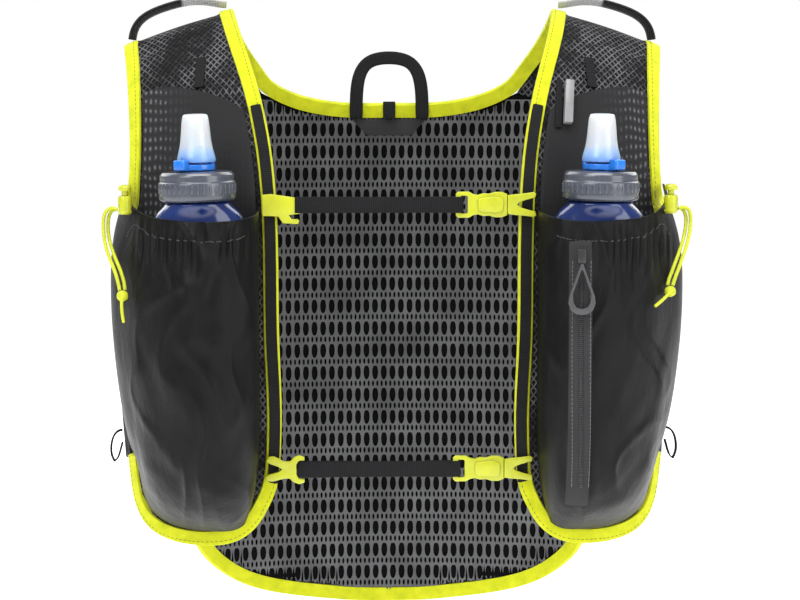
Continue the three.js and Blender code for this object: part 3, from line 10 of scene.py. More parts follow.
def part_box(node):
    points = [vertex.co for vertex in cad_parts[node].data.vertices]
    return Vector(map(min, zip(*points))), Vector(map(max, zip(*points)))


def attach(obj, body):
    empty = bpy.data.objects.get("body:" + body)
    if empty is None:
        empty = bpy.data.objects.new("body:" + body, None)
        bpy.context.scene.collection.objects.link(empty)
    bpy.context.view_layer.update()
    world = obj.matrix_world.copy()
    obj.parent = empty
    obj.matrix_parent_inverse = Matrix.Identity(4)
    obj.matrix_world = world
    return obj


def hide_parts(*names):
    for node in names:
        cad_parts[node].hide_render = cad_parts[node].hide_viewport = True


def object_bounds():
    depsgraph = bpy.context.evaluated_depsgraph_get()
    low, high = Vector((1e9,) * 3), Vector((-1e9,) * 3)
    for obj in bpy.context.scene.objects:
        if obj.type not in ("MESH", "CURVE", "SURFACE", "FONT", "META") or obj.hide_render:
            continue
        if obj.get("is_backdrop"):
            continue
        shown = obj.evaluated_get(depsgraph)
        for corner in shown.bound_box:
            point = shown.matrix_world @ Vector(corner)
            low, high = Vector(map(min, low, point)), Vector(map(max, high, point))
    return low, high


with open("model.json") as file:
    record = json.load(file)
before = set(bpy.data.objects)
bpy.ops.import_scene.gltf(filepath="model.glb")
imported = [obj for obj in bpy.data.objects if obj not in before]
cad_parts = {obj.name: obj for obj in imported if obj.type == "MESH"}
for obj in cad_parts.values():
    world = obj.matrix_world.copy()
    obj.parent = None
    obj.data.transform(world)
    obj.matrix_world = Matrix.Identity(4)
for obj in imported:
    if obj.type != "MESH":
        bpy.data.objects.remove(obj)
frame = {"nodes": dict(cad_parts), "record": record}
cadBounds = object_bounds()
nodes = frame["nodes"]
bodyOf = {node: body for body, members in frame["record"]["behaviour"]["bodies"].items() for node in members}
print("frame loaded:", len(nodes), "nodes")

# View of the photograph
view = {"target": (0.005, 0.0, -0.198), "distance": 2.1, "azimuth": -2.3, "elevation": 5.0, "lens": 135.7,
        "sensor": 36, "farthest": 20}


def placeCamera():
    azimuth = math.radians(view["azimuth"])
    elevation = math.radians(view["elevation"])
    target = Vector(view["target"])
    away = Vector((math.sin(azimuth) * math.cos(elevation), -math.cos(azimuth) * math.cos(elevation),
                   math.sin(elevation)))
    data = bpy.data.cameras.new("photoCamera")
    data.lens = view["lens"]
    data.sensor_width = view["sensor"]
    data.clip_end = view["farthest"]
    camera = bpy.data.objects.new("photoCamera", data)
    camera.location = target + away * view["distance"]
    camera.rotation_euler = (-away).to_track_quat("-Z", "Y").to_euler()
    bpy.context.scene.collection.objects.link(camera)
    bpy.context.scene.camera = camera


placeCamera()


# Materials
def newMaterial(name, colour, rough, **sockets):
    material = bpy.data.materials.new(name)
    material.use_nodes = True
    shader = material.node_tree.nodes["Principled BSDF"]
    shader.inputs["Base Color"].default_value = (*colour, 1)
    shader.inputs["Roughness"].default_value = rough
    for socket, value in sockets.items():
        shader.inputs[socket.replace("_", " ")].default_value = value
    return material


def addNode(material, kind, inputs=None, **settings):
    node = material.node_tree.nodes.new(kind)
    for key, value in settings.items():
        setattr(node, key, value)
    for key, value in (inputs or {}).items():
        if isinstance(value, bpy.types.NodeSocket):
            material.node_tree.links.new(value, node.inputs[key])
        else:
            node.inputs[key].default_value = value
    return node


def toShader(material, socket, output):
    material.node_tree.links.new(output, material.node_tree.nodes["Principled BSDF"].inputs[socket])


def place(material, scale=(1, 1, 1), turn=(0, 0, 0), source="Object"):
    coordinates = addNode(material, "ShaderNodeTexCoord")
    return addNode(material, "ShaderNodeMapping", {"Vector": coordinates.outputs[source], "Scale": scale,
                                                   "Rotation": turn}).outputs["Vector"]


# Scale of a Mapping that makes one band of a wave texture a pitch wide
def wave(pitch):
    return math.pi / 10 / pitch  # a wave texture of scale 1 has bands of pi / 10


def threadGrid(material, pitch):
    return place(material, (wave(pitch),) * 3)


def bands(material, vector, direction="X", distortion=0.0):
    inputs = {"Vector": vector, "Scale": 1.0, "Distortion": distortion, "Detail": 0.0}
    return addNode(material, "ShaderNodeTexWave", inputs, bands_direction=direction,
                   wave_profile="SIN").outputs["Fac"]


# Two sets of bands, crossed
def crossed(material, grid, across="X"):
    return maths(material, "MULTIPLY", bands(material, grid, across), bands(material, grid, "Z"))


def noise(material, vector, scale, detail=3.0, rough=0.5):
    return addNode(material, "ShaderNodeTexNoise", {"Vector": vector, "Scale": scale, "Detail": detail,
                                                    "Roughness": rough}).outputs["Fac"]


def ramp(material, value, stops):
    node = addNode(material, "ShaderNodeValToRGB", {"Fac": value})
    elements = node.color_ramp.elements
    while len(elements) < len(stops):
        elements.new(0.5)
    for element, (position, colour) in zip(elements, stops):
        element.position = position
        element.color = (*colour, 1)
    return node.outputs["Color"]


def maths(material, operation, a, b=0.5):
    return addNode(material, "ShaderNodeMath", {0: a, 1: b}, operation=operation).outputs[0]


# Sum of values, each with its own weight
def weighted(material, *shares):
    total = None
    for value, weight in shares:
        part = value if weight == 1 else maths(material, "MULTIPLY", value, weight)
        total = part if total is None else maths(material, "ADD", total, part)
    return total


def dye(material, value, shades):
    toShader(material, "Base Color", ramp(material, value, shades))


def relief(material, height, strength, distance):
    inputs = {"Height": height, "Strength": strength, "Distance": distance}
    toShader(material, "Normal", addNode(material, "ShaderNodeBump", inputs).outputs["Normal"])


def tuneRoughness(material, value, low, high):
    spread = addNode(material, "ShaderNodeMapRange", {"Value": value, "To Min": low, "To Max": high})
    toShader(material, "Roughness", spread.outputs["Result"])


# How far a value lies between two others
def shareAlong(material, value, low, high):
    return addNode(material, "ShaderNodeMapRange", {"Value": value, "From Min": low,
                                                    "From Max": high}).outputs["Result"]


def axisOf(material, vector, axis):
    return addNode(material, "ShaderNodeSeparateXYZ", {"Vector": vector}).outputs[axis]


# Plain weave: two crossed sets of threads, slow changes of shade, and a bump from the threads
weave = {"threads": 0.45, "patches": 0.75, "patchScale": 38.0, "dark": 0.15, "light": 0.85, "bump": 0.5,
         "smoother": 0.08, "rougher": 0.1}


def wovenMaterial(name, dark, light, pitch, rough, depth=0.0002, across="X", **sockets):
    material = newMaterial(name, light, rough, **sockets)
    threads = crossed(material, threadGrid(material, pitch), across)
    patches = noise(material, place(material), weave["patchScale"], 4.0)
    mixed = weighted(material, (threads, weave["threads"]), (patches, weave["patches"]))
    dye(material, mixed, [(weave["dark"], dark), (weave["light"], light)])
    tuneRoughness(material, patches, rough - weave["smoother"], min(rough + weave["rougher"], 1))
    relief(material, threads, weave["bump"], depth)
    return material


# Webbing: ribs across, finer threads the other way
ribs = {"fineness": 0.6, "ribs": 0.6, "fine": 0.25, "patches": 0.3, "patchScale": 60.0, "dark": 0.2,
        "light": 0.9, "bump": 0.7, "depth": 0.0003}


def ribbedMaterial(name, dark, light, pitch, rough, along="X", **sockets):
    material = newMaterial(name, light, rough, **sockets)
    other = "Z" if along == "X" else "X"
    thick = bands(material, threadGrid(material, pitch), along)
    fine = bands(material, threadGrid(material, pitch * ribs["fineness"]), other)
    both = weighted(material, (thick, ribs["ribs"]), (fine, ribs["fine"]))
    patches = noise(material, place(material), ribs["patchScale"])
    mixed = weighted(material, (both, 1), (patches, ribs["patches"]))
    dye(material, mixed, [(ribs["dark"], dark), (ribs["light"], light)])
    relief(material, both, ribs["bump"], ribs["depth"])
    return material


# Edge tape: fine knit ribs and a fuzzy bump, with painted shade making it slightly darker in the bump's
# hollows
knitTape = {"pitch": 0.0007, "knit": 0.3, "fuzzScale": 120.0, "fuzz": 2.0, "bump": 0.35, "depth": 0.0006,
            "shades": [(0.28, (0.38, 0.43, 0.004)), (0.62, (0.53, 0.56, 0.008)), (1.0, (0.62, 0.63, 0.02))]}


def tapeMaterial():
    material = newMaterial("edgeTape", (0.54, 0.57, 0.01), 0.8, Specular_IOR_Level=0.2, Sheen_Weight=0.08,
                           Sheen_Roughness=0.5)
    knit = crossed(material, threadGrid(material, knitTape["pitch"]))
    fuzz = noise(material, place(material), knitTape["fuzzScale"], 5.0, 0.6)
    # The fuzz sets both the bump and the colour: painted shade in its hollows
    mixed = weighted(material, (knit, knitTape["knit"]), (fuzz, 1))
    dye(material, mixed, knitTape["shades"])
    height = weighted(material, (knit, 1), (fuzz, knitTape["fuzz"]))
    relief(material, height, knitTape["bump"], knitTape["depth"])
    return material


# Open diamond net with near-black holes and black strands whose light grey tops are painted highlight, on the
# panel's own map of widths and lengths
diamonds = {"across": 0.0035, "down": 0.0032, "slant": 0.62, "unevenScale": 220.0, "uneven": 0.5,
            "patchScale": 30.0, "patches": 0.75, "bump": 0.9, "depth": 0.0008,
            "shades": [(0.44, (0.003, 0.003, 0.0035)), (0.58, (0.022, 0.022, 0.024)),
                       (0.74, (0.11, 0.11, 0.115))],
            "edges": [(0.55, (0, 0, 0)), (0.9, (1, 1, 1))]}


def diamondMaterial():
    material = newMaterial("diamondNet", (0.03, 0.03, 0.032), 0.7, Specular_IOR_Level=0.15)
    size = (wave(diamonds["across"]), wave(diamonds["down"]), 1)
    first, second = (bands(material, place(material, size, (0, 0, turn), "UV"))
                     for turn in (diamonds["slant"], -diamonds["slant"]))
    strands = maths(material, "MAXIMUM", first, second)
    uneven = noise(material, place(material), diamonds["unevenScale"], 3.0)
    slow = noise(material, place(material), diamonds["patchScale"], 2.0)
    # Noise patches set where the strand tops carry painted highlight in light grey
    patchyHighlight = weighted(material, (uneven, diamonds["uneven"]), (slow, diamonds["patches"]))
    dye(material, maths(material, "MULTIPLY", strands, patchyHighlight), diamonds["shades"])
    edges = ramp(material, strands, diamonds["edges"])
    relief(material, edges, diamonds["bump"], diamonds["depth"])
    return material


# Stretch knit with small light specks on its outer half, plain towards the middle of the vest
specks = {"from": 0.134, "to": 0.162, "pitch": 0.0034, "rowLength": 0.006, "tierLength": 0.0062,
          "rowWander": 1.8, "tierWander": 2.5, "grainScale": 520.0, "bump": 0.4, "depth": 0.0003,
          "shades": [(0.0, (0.016, 0.016, 0.017)), (0.26, (0.028, 0.028, 0.03)), (0.42, (0.1, 0.1, 0.104))]}


def stretchMaterial():
    material = newMaterial("stretchKnit", (0.03, 0.03, 0.032), 0.8, Specular_IOR_Level=0.15)
    vector = place(material)
    outward = maths(material, "ABSOLUTE", axisOf(material, vector, "X"))
    reach = shareAlong(material, outward, specks["from"], specks["to"])
    rows = bands(material, place(material, (wave(specks["pitch"]), 1, wave(specks["rowLength"]))), "X",
                 specks["rowWander"])
    tiers = bands(material, place(material, (wave(specks["pitch"]), 1, wave(specks["tierLength"]))), "Z",
                  specks["tierWander"])
    dots = maths(material, "MULTIPLY", rows, tiers)
    grainy = maths(material, "MULTIPLY", dots, noise(material, vector, specks["grainScale"], 2.0))
    shown = maths(material, "MULTIPLY", grainy, reach)
    dye(material, shown, specks["shades"])
    relief(material, dots, specks["bump"], specks["depth"])
    return material


# Thin plain nylon with a soft sheen, a faint grid of thicker threads, and fine creases with painted shading:
# darker in their hollows, lighter on their ridges
thinNylon = {"pitch": 0.0006, "weave": 0.25, "squarePitch": 0.0042, "squareEdge": 24.0, "square": 0.1,
             "creaseStretch": (1, 1, 0.55), "creaseScale": 55.0, "rough": (0.3, 0.48), "weaveHeight": 0.05,
             "bump": 0.35, "depth": 0.004,
             "shades": [(0.3, (0.0025, 0.0025, 0.003)), (0.95, (0.008, 0.008, 0.0085))]}


def nylonMaterial():
    material = newMaterial("pocketNylon", (0.006, 0.006, 0.0065), 0.38, IOR=1.27, Specular_IOR_Level=0.32)
    fine = crossed(material, threadGrid(material, thinNylon["pitch"]))
    grid = threadGrid(material, thinNylon["squarePitch"])
    lines = [maths(material, "POWER", bands(material, grid, way), thinNylon["squareEdge"])
             for way in ("X", "Z")]
    square = maths(material, "MAXIMUM", *lines)
    crease = noise(material, place(material, thinNylon["creaseStretch"]), thinNylon["creaseScale"], 6.0, 0.55)
    # The creases set the colour as well as the bump: painted shade in their hollows, painted highlight on
    # their ridges
    mixed = weighted(material, (fine, thinNylon["weave"]), (crease, 1), (square, thinNylon["square"]))
    dye(material, mixed, thinNylon["shades"])
    tuneRoughness(material, crease, *thinNylon["rough"])
    height = weighted(material, (fine, thinNylon["weaveHeight"]), (crease, 1))
    relief(material, height, thinNylon["bump"], thinNylon["depth"])
    return material


# Loop over the shoulder: light reflective tape towards the neck, dark webbing on its outer part
shoulderLoop = {"darkFrom": 0.146, "lightFrom": 0.144, "pitch": 0.0011, "ribs": 0.3, "plain": 0.7,
                "bump": 0.5, "depth": 0.0002,
                "shades": [(0.0, (0.008, 0.008, 0.009)), (0.6, (0.3, 0.3, 0.31)), (1.0, (0.52, 0.52, 0.53))]}


def loopMaterial():
    material = newMaterial("shoulderLoop", (0.4, 0.4, 0.41), 0.45, Specular_IOR_Level=0.3)
    outward = maths(material, "ABSOLUTE", axisOf(material, place(material), "X"))
    inner = shareAlong(material, outward, shoulderLoop["darkFrom"], shoulderLoop["lightFrom"])
    lines = bands(material, threadGrid(material, shoulderLoop["pitch"]))
    raised = maths(material, "MULTIPLY", lines, shoulderLoop["ribs"])
    mixed = maths(material, "MULTIPLY", inner, maths(material, "ADD", raised, shoulderLoop["plain"]))
    dye(material, mixed, shoulderLoop["shades"])
    relief(material, lines, shoulderLoop["bump"], shoulderLoop["depth"])
    return material


# Bite valve: clear silicone that turns pale blue towards its collar
silicone = {"cloudScale": 130.0, "cloud": 0.12, "rough": (0.22, 0.4), "bump": 0.15, "depth": 0.0006,
            "shades": [(0.2, (0.12, 0.3, 0.72)), (0.4, (0.3, 0.46, 0.7)), (0.5, (0.47, 0.54, 0.6)),
                       (1.0, (0.58, 0.63, 0.66))]}


def valveMaterial():
    material = newMaterial("clearSilicone", (0.5, 0.58, 0.64), 0.3, Subsurface_Weight=0.3, Coat_Weight=0.3,
                           Transmission_Weight=0.2)
    low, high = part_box("bite_valve_left")
    vector = place(material)
    share = shareAlong(material, axisOf(material, vector, "Z"), low.z, high.z)
    cloudy = noise(material, vector, silicone["cloudScale"], 3.0)
    mixed = weighted(material, (share, 1), (cloudy, silicone["cloud"]))
    dye(material, mixed, silicone["shades"])
    tuneRoughness(material, cloudy, *silicone["rough"])
    relief(material, cloudy, silicone["bump"], silicone["depth"])
    return material


# Moulded plastic: faint flow marks and a fine grain
plastic = {"shade": 0.82, "dark": 0.3, "light": 0.7, "smoother": 0.07, "smoothest": 0.05, "rougher": 0.08,
           "grainScale": 1400.0, "bump": 0.06, "depth": 0.0002}


def plasticMaterial(name, colour, rough, marks=90.0, **sockets):
    material = newMaterial(name, colour, rough, **sockets)
    flow = noise(material, place(material), marks, 4.0, 0.6)
    shade = tuple(c * plastic["shade"] for c in colour)
    dye(material, flow, [(plastic["dark"], shade), (plastic["light"], colour)])
    tuneRoughness(material, flow, max(rough - plastic["smoother"], plastic["smoothest"]),
                  rough + plastic["rougher"])
    grain = noise(material, place(material), plastic["grainScale"], 2.0)
    relief(material, grain, plastic["bump"], plastic["depth"])
    return material


darkWebbing = [(0.003, 0.003, 0.0035), (0.014, 0.014, 0.015), 0.0012, 0.7]  # dark, light, pitch, roughness
materials = {
    "spacerYarn": wovenMaterial("spacerYarn", (0.045, 0.045, 0.047), (0.165, 0.165, 0.17), 0.0008, 0.8,
                                depth=0.0003, Specular_IOR_Level=0.15),
    # Black inner cloth of the back, made darker still as painted shade deep in the net's holes
    "spacerInnerShade": wovenMaterial("spacerInnerShade", (0.002, 0.002, 0.002), (0.005, 0.005, 0.006), 0.0012, 0.95,
                                Specular_IOR_Level=0.05),
    "net": diamondMaterial(),
    "stretch": stretchMaterial(),
    "nylon": nylonMaterial(),
    "sideCloth": wovenMaterial("sideCloth", (0.006, 0.006, 0.007), (0.024, 0.024, 0.026), 0.0011, 0.7,
                               across="Y", Specular_IOR_Level=0.2),
    "tape": tapeMaterial(),
    "webbing": ribbedMaterial("webbing", *darkWebbing, Specular_IOR_Level=0.12),
    "webbingUp": ribbedMaterial("webbingUp", *darkWebbing, along="Z", Specular_IOR_Level=0.12),
    "greyHem": wovenMaterial("greyHem", (0.012, 0.012, 0.013), (0.036, 0.036, 0.038), 0.0009, 0.7,
                             Specular_IOR_Level=0.2),
    "reflective": loopMaterial(),
    "yellowPlastic": plasticMaterial("yellowPlastic", (0.47, 0.5, 0.01), 0.36, Coat_Weight=0.25),
    "greyPlastic": plasticMaterial("greyPlastic", (0.05, 0.05, 0.053), 0.42),
    "whistle": plasticMaterial("whistlePlastic", (0.22, 0.22, 0.225), 0.4, Coat_Weight=0.2),
    "zipDark": plasticMaterial("zipDark", (0.015, 0.015, 0.016), 0.4, Coat_Weight=0.3),
    "flask": plasticMaterial("flaskFilm", (0.012, 0.04, 0.22), 0.16, marks=26.0, Coat_Weight=0.6,
                             Coat_Roughness=0.08, Transmission_Weight=0.35, IOR=1.4),
    "cap": plasticMaterial("smokyCap", (0.065, 0.072, 0.095), 0.26, marks=40.0, Coat_Weight=0.4,
                           Transmission_Weight=0.12),
    "lever": plasticMaterial("blueLever", (0.01, 0.17, 0.68), 0.25, Coat_Weight=0.4),
    "valve": valveMaterial(),
    "thread": newMaterial("darkThread", (0.05, 0.05, 0.052), 0.6),
    "greyThread": newMaterial("greyThread", (0.12, 0.12, 0.125), 0.55),
    "tapeThread": newMaterial("tapeThread", (0.16, 0.18, 0.01), 0.7),
    "cordYarn": wovenMaterial("cordYarn", (0.36, 0.4, 0.005), (0.6, 0.63, 0.012), 0.0007, 0.6, depth=0.0003),
}
print("materials ready")


# Ways to make pieces, with distances in metres and angles in degrees
making = {"merge": 0.00002, "flatten": 1.0, "quadAngle": 60, "quadShape": 100,
          "softAngle": 60, "hardAngle": 40}


def only(piece):
    if bpy.context.object and bpy.context.object.mode != "OBJECT":
        bpy.ops.object.mode_set(mode="OBJECT")
    bpy.ops.object.select_all(action="DESELECT")
    piece.select_set(True)
    bpy.context.view_layer.objects.active = piece


def newPiece(mesh, name):
    piece = bpy.data.objects.new(name, mesh)
    bpy.context.scene.collection.objects.link(piece)
    return piece


def dress(piece, material, body="vest"):
    piece.data.materials.clear()
    piece.data.materials.append(materials[material])
    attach(piece, body)
    return piece


def applyModifier(piece, kind, **settings):
    only(piece)
    modifier = piece.modifiers.new(kind.title(), kind)
    for key, value in settings.items():
        setattr(modifier, key, value)
    bpy.ops.object.modifier_apply(modifier=modifier.name)


# Copy of a CAD solid with its loose triangles merged, into whole flat faces or into quads
def mergedCopy(node, name, whole):
    piece = newPiece(nodes[node].data.copy(), name)
    only(piece)
    bpy.ops.object.mode_set(mode="EDIT")
    bpy.ops.mesh.select_all(action="SELECT")
    bpy.ops.mesh.remove_doubles(threshold=making["merge"])
    if whole:
        bpy.ops.mesh.dissolve_limited(angle_limit=math.radians(making["flatten"]))
    else:
        bpy.ops.mesh.tris_convert_to_quads(face_threshold=math.radians(making["quadAngle"]),
                                           shape_threshold=math.radians(making["quadShape"]))
    bpy.ops.object.mode_set(mode="OBJECT")
    if piece.data.attributes.get("custom_normal"):
        bpy.ops.mesh.customdata_custom_splitnormals_clear()
    return piece


# Edges that bend more than an angle keep their line when the piece is subdivided
def creaseSharp(piece, angle, amount, corners):
    shape = bmesh.new()
    shape.from_mesh(piece.data)
    layer = shape.edges.layers.float.get("crease_edge") or shape.edges.layers.float.new("crease_edge")
    for edge in shape.edges:
        edge.smooth = True
        if len(edge.link_faces) == 2 and edge.calc_face_angle(0) > math.radians(angle):
            edge[layer] = amount
    if corners:
        pinned = shape.verts.layers.float.get("crease_vert") or shape.verts.layers.float.new("crease_vert")
        for vertex in shape.verts:
            ways = [(e.other_vert(vertex).co - vertex.co).normalized()
                    for e in vertex.link_edges if e[layer] > 0]
            if len(ways) == 2 and ways[0].dot(ways[1]) > -math.cos(math.radians(corners)):
                vertex[pinned] = 1
    shape.to_mesh(piece.data)
    shape.free()


# A cloth piece on its CAD solid: smooth in its faces, held along its edges
def softCopy(node, name, material, slot, levels=2, crease=0.9, angle=50, corners=0):
    piece = mergedCopy(node, name, whole=False)
    creaseSharp(piece, angle, crease, corners)
    applyModifier(piece, "SUBSURF", levels=levels, render_levels=levels)
    only(piece)
    bpy.ops.object.shade_smooth_by_angle(angle=math.radians(making["softAngle"]))
    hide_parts(node)
    return dress(piece, material, bodyOf[node])


# A moulded piece on its CAD solid, with its edges rounded
def hardCopy(node, name, material, edge=0.0006, segments=3, angle=28):
    piece = mergedCopy(node, name, whole=True)
    applyModifier(piece, "BEVEL", width=edge, segments=segments, limit_method="ANGLE",
                  angle_limit=math.radians(angle), use_clamp_overlap=True, harden_normals=False)
    only(piece)
    bpy.ops.object.shade_smooth_by_angle(angle=math.radians(making["hardAngle"]))
    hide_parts(node)
    return dress(piece, material, bodyOf[node])


def coordinatesOf(piece):
    found = np.zeros(len(piece.data.vertices) * 3, np.float32)
    piece.data.vertices.foreach_get("co", found)
    return found.reshape(-1, 3).astype(float)


def normalsOf(piece):
    found = np.zeros(len(piece.data.vertices) * 3, np.float32)
    piece.data.vertices.foreach_get("normal", found)
    return found.reshape(-1, 3).astype(float)


def putBack(piece, coordinates):
    piece.data.vertices.foreach_set("co", coordinates.astype(np.float32).ravel())
    piece.data.update()


def surfaceOf(piece):
    return BVHTree.FromPolygons([v.co.copy() for v in piece.data.vertices],
                                [tuple(p.vertices) for p in piece.data.polygons])


# Cords, with their routes in millimetres as in the part
cords = {
    "cord_right_a": [
        (184.9, -109, -128.1), (188.6, -109.2, -127.6), (191.4, -109, -129.2), (192.8, -108.2, -133),
        (193, -108, -137.6), (192.6, -108.6, -142.4), (191.6, -109.8, -147.2), (190.2, -111.6, -152),
        (188.4, -113.6, -156.8), (186.4, -115.8, -161.6), (184.4, -118.2, -166.4),
        (182.2, -120.6, -171), (180.4, -123.2, -175.2), (179.2, -125, -178.2),
    ],
    "cord_right_b": [
        (184.9, -106.2, -128.1), (188.2, -106, -129.4), (189.8, -105.8, -132.6), (190.2, -106, -137),
        (189.8, -106.6, -141.6), (188.8, -107.8, -146.2), (187.4, -109.6, -150.8),
        (185.6, -111.8, -155.4), (183.6, -114.4, -160), (181.4, -117.2, -164.6), (179.4, -120, -169),
        (177.2, -122.8, -173.6), (175.8, -125, -178),
    ],
    "cord_left_a": [
        (-184.9, -109, -128.1), (-189, -109.2, -127.4), (-192.2, -108.8, -129.4),
        (-193.8, -108, -133.4), (-194.2, -107.6, -138.4), (-194, -108, -143.6),
        (-193.4, -108.8, -148.8), (-192.2, -110, -154), (-190.4, -111.8, -159), (-188.4, -114, -163.8),
        (-186.4, -116.4, -168.6), (-184.8, -119, -173.4), (-183.6, -121.8, -177.6),
        (-183, -123.4, -180.4),
    ],
    "cord_left_b": [
        (-184.9, -106.2, -128.1), (-188.4, -106, -129.2), (-190.4, -105.6, -132.4),
        (-191.2, -105.4, -137), (-191.2, -105.8, -142), (-190.6, -106.6, -147), (-189.4, -108, -152),
        (-187.6, -110, -157), (-185.6, -112.4, -161.8), (-183.4, -115.2, -166.4),
        (-181.6, -118.2, -171), (-180.2, -121.4, -175.6), (-179.6, -123.4, -180),
    ],
}
cordSizes = {"diameter": 0.0024, "steps": 6, "roundness": 3}


def routeLength(points):
    return sum((Vector(b) - Vector(a)).length for a, b in zip(points, points[1:]))


def makeCord(name, points):
    route = [Vector(p) * 0.001 for p in points]
    curve = bpy.data.curves.new(name, "CURVE")
    curve.dimensions = "3D"
    curve.resolution_u = cordSizes["steps"]
    curve.bevel_depth = cordSizes["diameter"] / 2
    curve.bevel_resolution = cordSizes["roundness"]
    curve.use_fill_caps = True
    spline = curve.splines.new("BEZIER")
    spline.bezier_points.add(len(route) - 1)
    for knot, here in zip(spline.bezier_points, route):
        knot.co = here
        knot.handle_left_type = knot.handle_right_type = "AUTO"
    cord = bpy.data.objects.new(name + "_braid", curve)
    bpy.context.scene.collection.objects.link(cord)
    curve.materials.append(materials["cordYarn"])
    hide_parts(name)
    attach(cord, "vest")
    return cord


for side in ("left", "right"):
    softCopy(f"cord_knot_{side}", f"knot_{side}", "cordYarn", "cord", crease=0.0)
for name, points in cords.items():
    cord = makeCord(name, points)
    side = "left" if "left" in name else "right"
    length = routeLength(points) * 0.001
    print("cord", name, "length", round(length, 4))


# Stitching
stitchFacets = {"segments": 6, "ring_count": 4}


# One stitch, a small thread lozenge lying along X, made once and copied
def stitchMesh(length, width, height):
    bpy.ops.object.select_all(action="DESELECT")
    bpy.ops.mesh.primitive_uv_sphere_add(radius=0.5, **stitchFacets)
    stitch = bpy.context.object
    bpy.ops.object.mode_set(mode="EDIT")
    bpy.ops.mesh.select_all(action="SELECT")
    bpy.ops.transform.rotate(value=math.pi / 2, orient_axis="Y", center_override=(0, 0, 0))
    bpy.ops.transform.resize(value=(length, width, height))
    bpy.ops.object.mode_set(mode="OBJECT")
    points = coordinatesOf(stitch)
    faces = [tuple(p.vertices) for p in stitch.data.polygons]
    bpy.data.objects.remove(stitch)
    return points, faces


# Evenly spaced places along a polyline, with the way along it
def walk(path, pitch):
    points = [Vector(p) for p in path]
    lengths = [0.0]
    for a, b in zip(points, points[1:]):
        lengths.append(lengths[-1] + (b - a).length)
    count = max(int(lengths[-1] / pitch), 1)
    for i in range(count):
        here = (i + 0.5) * lengths[-1] / count
        k = min(int(np.searchsorted(lengths, here)) - 1, len(points) - 2)
        k = max(k, 0)
        share = (here - lengths[k]) / max(lengths[k + 1] - lengths[k], 1e-9)
        yield points[k].lerp(points[k + 1], share), (points[k + 1] - points[k]).normalized()


# Corner cutting, so that a few chosen points make an even curve
def smoothPath(path, rounds=2):
    points = [Vector(p) for p in path]
    for _ in range(rounds):
        cut = [points[0]]
        for a, b in zip(points, points[1:]):
            cut += [a.lerp(b, 0.25), a.lerp(b, 0.75)]
        points = cut + [points[-1]]
    return points


# Copies of one small shape along paths, laid on the surface of a piece
def repeatAlong(name, paths, onto, pitch, shape, material, lift=0.0, turn=0.0, body="vest",
                spread=0.012, shift=0.0):
    surface = surfaceOf(onto)
    points, faces = shape
    allPoints, allFaces = [], []
    for path in paths:
        for here, along in walk(smoothPath(path), pitch):
            spot, normal, _, distance = surface.find_nearest(here)
            if spot is None or distance > spread:
                continue
            if shift:
                spot, normal, _, _ = surface.find_nearest(spot + normal.cross(along).normalized() * shift)
            along = (along - normal * along.dot(normal)).normalized()
            if turn:
                along = Matrix.Rotation(turn, 3, normal) @ along
            turned = np.array([along, normal.cross(along), normal]).T
            start = len(allPoints)
            allPoints.extend((turned @ points.T).T + np.array(spot + normal * lift))
            allFaces.extend(tuple(start + k for k in face) for face in faces)
    mesh = bpy.data.meshes.new(name)
    mesh.from_pydata([tuple(p) for p in allPoints], [], allFaces)
    piece = newPiece(mesh, name)
    only(piece)
    bpy.ops.object.shade_smooth()
    return dress(piece, material, body)


def millimetres(points):
    return [(x * 0.001, y * 0.001, z * 0.001) for x, y, z in points]


def flipped(points):
    return [(-x, y, z) for x, y, z in points]


# Panels
panelHold = {"crease": 1.0, "corners": 4}
# Side view of a shoulder strap, as height and depth
strapProfile = [(-0.355, -0.092), (-0.29, -0.098), (-0.217, -0.1), (-0.142, -0.096), (-0.098, -0.084),
                (-0.055, -0.062), (-0.02, -0.03), (0.0, 0.0), (-0.014, 0.03), (-0.035, 0.046),
                (-0.06, 0.06), (-0.09, 0.075)]


# Gives a front panel a map: width across, and length measured over the shoulder
def strapLengths(piece):
    coordinates = coordinatesOf(piece)
    rail = np.array([(y, z) for z, y in strapProfile])
    lengths = np.concatenate([[0], np.cumsum(np.hypot(*np.diff(rail, axis=0).T))])
    best = np.full(len(coordinates), 1e9)
    along = np.zeros(len(coordinates))
    for k in range(len(rail) - 1):
        step = rail[k + 1] - rail[k]
        share = np.clip(((coordinates[:, 1:] - rail[k]) @ step) / (step @ step), 0, 1)
        near = rail[k] + share[:, None] * step
        distance = np.hypot(*(coordinates[:, 1:] - near).T)
        better = distance < best
        best[better] = distance[better]
        along[better] = lengths[k] + share[better] * (lengths[k + 1] - lengths[k])
    layer = piece.data.uv_layers[0] if piece.data.uv_layers else piece.data.uv_layers.new(name="panelMap")
    index = np.zeros(len(piece.data.loops), int)
    piece.data.loops.foreach_get("vertex_index", index)
    values = np.stack([coordinates[index, 0], along[index]], axis=1)
    layer.data.foreach_set("uv", values.astype(np.float32).ravel())


for side in ("left", "right"):
    panel = softCopy(f"front_panel_{side}", f"front_net_{side}", "net", "front_mesh", **panelHold)
    strapLengths(panel)
    sidePanel = softCopy(f"side_panel_{side}", f"side_cloth_{side}", "sideCloth", "nylon", **panelHold)
# The sheet between the two back nets: black inner cloth, painted darker as the shade seen through the net's
# holes
backSheet = softCopy("back_panel", "back_sheet", "spacerInnerShade", "spacer_mesh", **panelHold)
print("panels ready")


# Spacer net on both faces of the back
net = {"across": 0.0063, "down": 0.0161, "hole": (0.0045, 0.0108), "slit": (0.0018, 0.0044),
       "slitDrop": 0.00805, "holePoints": 12, "slitPoints": 8, "rise": 0.66,
       "thickness": 0.0008, "gap": 0.0001, "merge": 0.00001,
       "columns": 54, "rows": 24, "top": -0.052, "reach": 0.0045, "innerMargin": 0.0018,
       "outerMargin": 0.0004, "inset": 0.9995, "behind": 0.12, "middle": 0.07, "smooth": 50}


